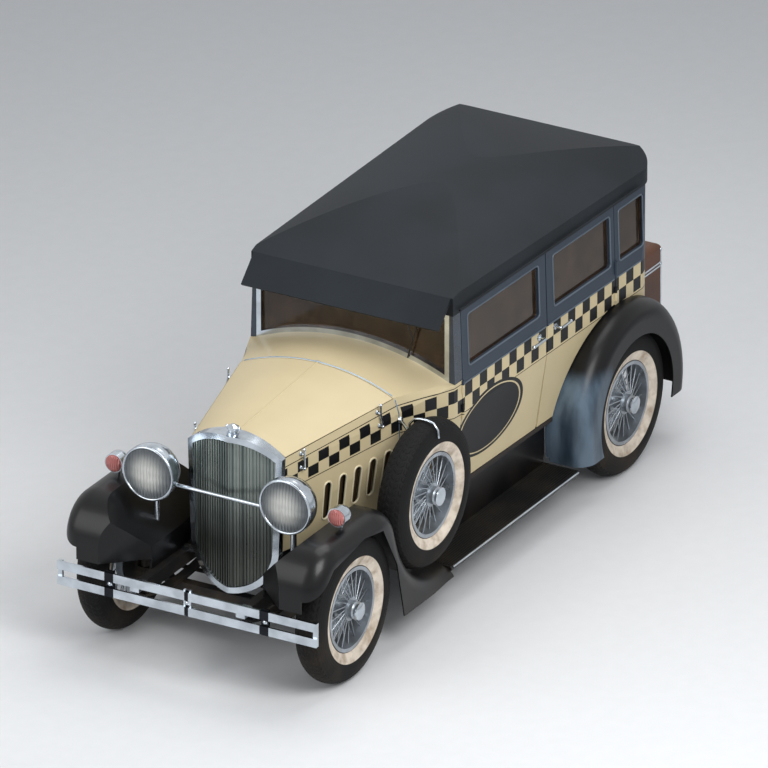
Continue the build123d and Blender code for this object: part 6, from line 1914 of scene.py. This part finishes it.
@dataclass
class Studio:
    """Pale floor, soft light and the photo's camera."""

    floor_half: float = 60.0
    back: Point = (0.787, 0.451, 0.42)
    right: Point = (-0.4974, 0.8675, 0.0)
    up: Point = (-0.3643, -0.2089, 0.9075)
    distance: float = 100.0
    lens: float = 862.0
    target: Point = (0.125, 0.0, 0.0)
    shift_right: float = 0.075
    shift_up: float = 0.8851
    sensor: float = 36.0
    clip: float = 400.0
    aim: Point = (0.0, 0.0, 0.8)
    # Each sky: colour, strength
    world_light: tuple[Colour, float] = ((0.80, 0.84, 0.90, 1.0), 0.36)
    world_face: tuple[Colour, float] = ((0.90, 0.91, 0.92, 1.0), 0.85)
    # Columns: name, place, size, strength
    lights: tuple[tuple[str, Point, float, float], ...] = (
        ("key", (3.5, 5.5, 6.0), 4.0, 415.0),
        ("fill", (6.5, -3.5, 4.0), 5.0, 190.0),
        ("top", (-1.5, 0.5, 7.0), 5.0, 210.0),
    )

    def build(self, dresser: Dresser) -> None:
        """Set up floor, world, lights and camera.

        Args:
            dresser: Finds CAD nodes, finishes them and takes new pieces.
        """
        self.floor(dresser)
        self.world()
        for name, place, size, strength in self.lights:
            lamp = bpy.data.lights.new(name, "AREA")
            lamp.size = size
            lamp.energy = strength
            holder = scene_object(name, lamp)
            holder.location = place
            ray = Vector(self.aim) - Vector(place)
            holder.rotation_euler = ray.to_track_quat("-Z", "Y").to_euler()
        self.camera()

    def floor(self, dresser: Dresser) -> None:
        """Lay the floor.

        Args:
            dresser: Finds CAD nodes, finishes them and takes new pieces.
        """
        size = self.floor_half
        mesh = bpy.data.meshes.new("floor_sheet")
        corners = [(-size, -size, 0), (size, -size, 0), (size, size, 0), (-size, size, 0)]
        mesh.from_pydata(corners, [], [(0, 1, 2, 3)])
        sheet = scene_object("floor_sheet", mesh)
        paint = Finish("studio_floor", srgb(226, 227, 228), 0.7, Grain.CAST, variation=0.02, bump=0.0)
        mesh.materials.append(dresser.material(paint))

    def world(self) -> None:
        """Give the world a pale light, and a paler face to the camera, metal and glass."""
        world = bpy.data.worlds.new("studio_world")
        bpy.context.scene.world = world
        world.use_nodes = True
        world.node_tree.nodes.clear()
        wiring = Wiring(world.node_tree)
        rays = wiring.node("ShaderNodeLightPath").outputs
        facing = rays["Is Camera Ray"]
        for ray in ("Is Glossy Ray", "Is Transmission Ray"):
            facing = wiring.calc("MAXIMUM", facing, rays[ray])
        mix = wiring.node("ShaderNodeMixShader")
        wiring.feed(mix.inputs[0], facing)
        for index, (colour, strength) in enumerate((self.world_light, self.world_face), start=1):
            sky = wiring.fill(wiring.node("ShaderNodeBackground"), {"Color": colour, "Strength": strength})
            wiring.feed(mix.inputs[index], sky.outputs[0])
        wiring.fill(wiring.node("ShaderNodeOutputWorld"), {"Surface": mix.outputs[0]})

    def camera(self) -> None:
        """Place the camera where the photo was taken from."""
        lens = bpy.data.cameras.new("photo_camera")
        lens.lens = self.lens
        lens.sensor_width = self.sensor
        lens.clip_end = self.clip
        holder = scene_object("photo_camera", lens)
        back, right, up = (Vector(way).normalized() for way in (self.back, self.right, self.up))
        place = Vector(self.target) + self.shift_right * right + self.shift_up * up + self.distance * back
        holder.matrix_world = Matrix.Translation(place) @ Matrix((right, up, back)).transposed().to_4x4()
        bpy.context.scene.camera = holder


def main() -> None:
    """Build the scene."""
    logging.basicConfig(level=logging.INFO, format="%(name)s: %(message)s")
    for holder in list(bpy.data.objects):
        bpy.data.objects.remove(holder)
    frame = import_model()
    bpy.context.scene.view_settings.view_transform = "Standard"
    dresser = Dresser(frame["nodes"])
    assemblies = (Bodywork(), Glazing(), FrontEnd(), Lamps(), WheelSet(), Boards(), TrunkDress(), Seats(),
                  Underside(), Studio())
    for assembly in assemblies:
        assembly.build(dresser)
        LOG.info("%s done", type(assembly).__name__)


if __name__ == "__main__":
    main()
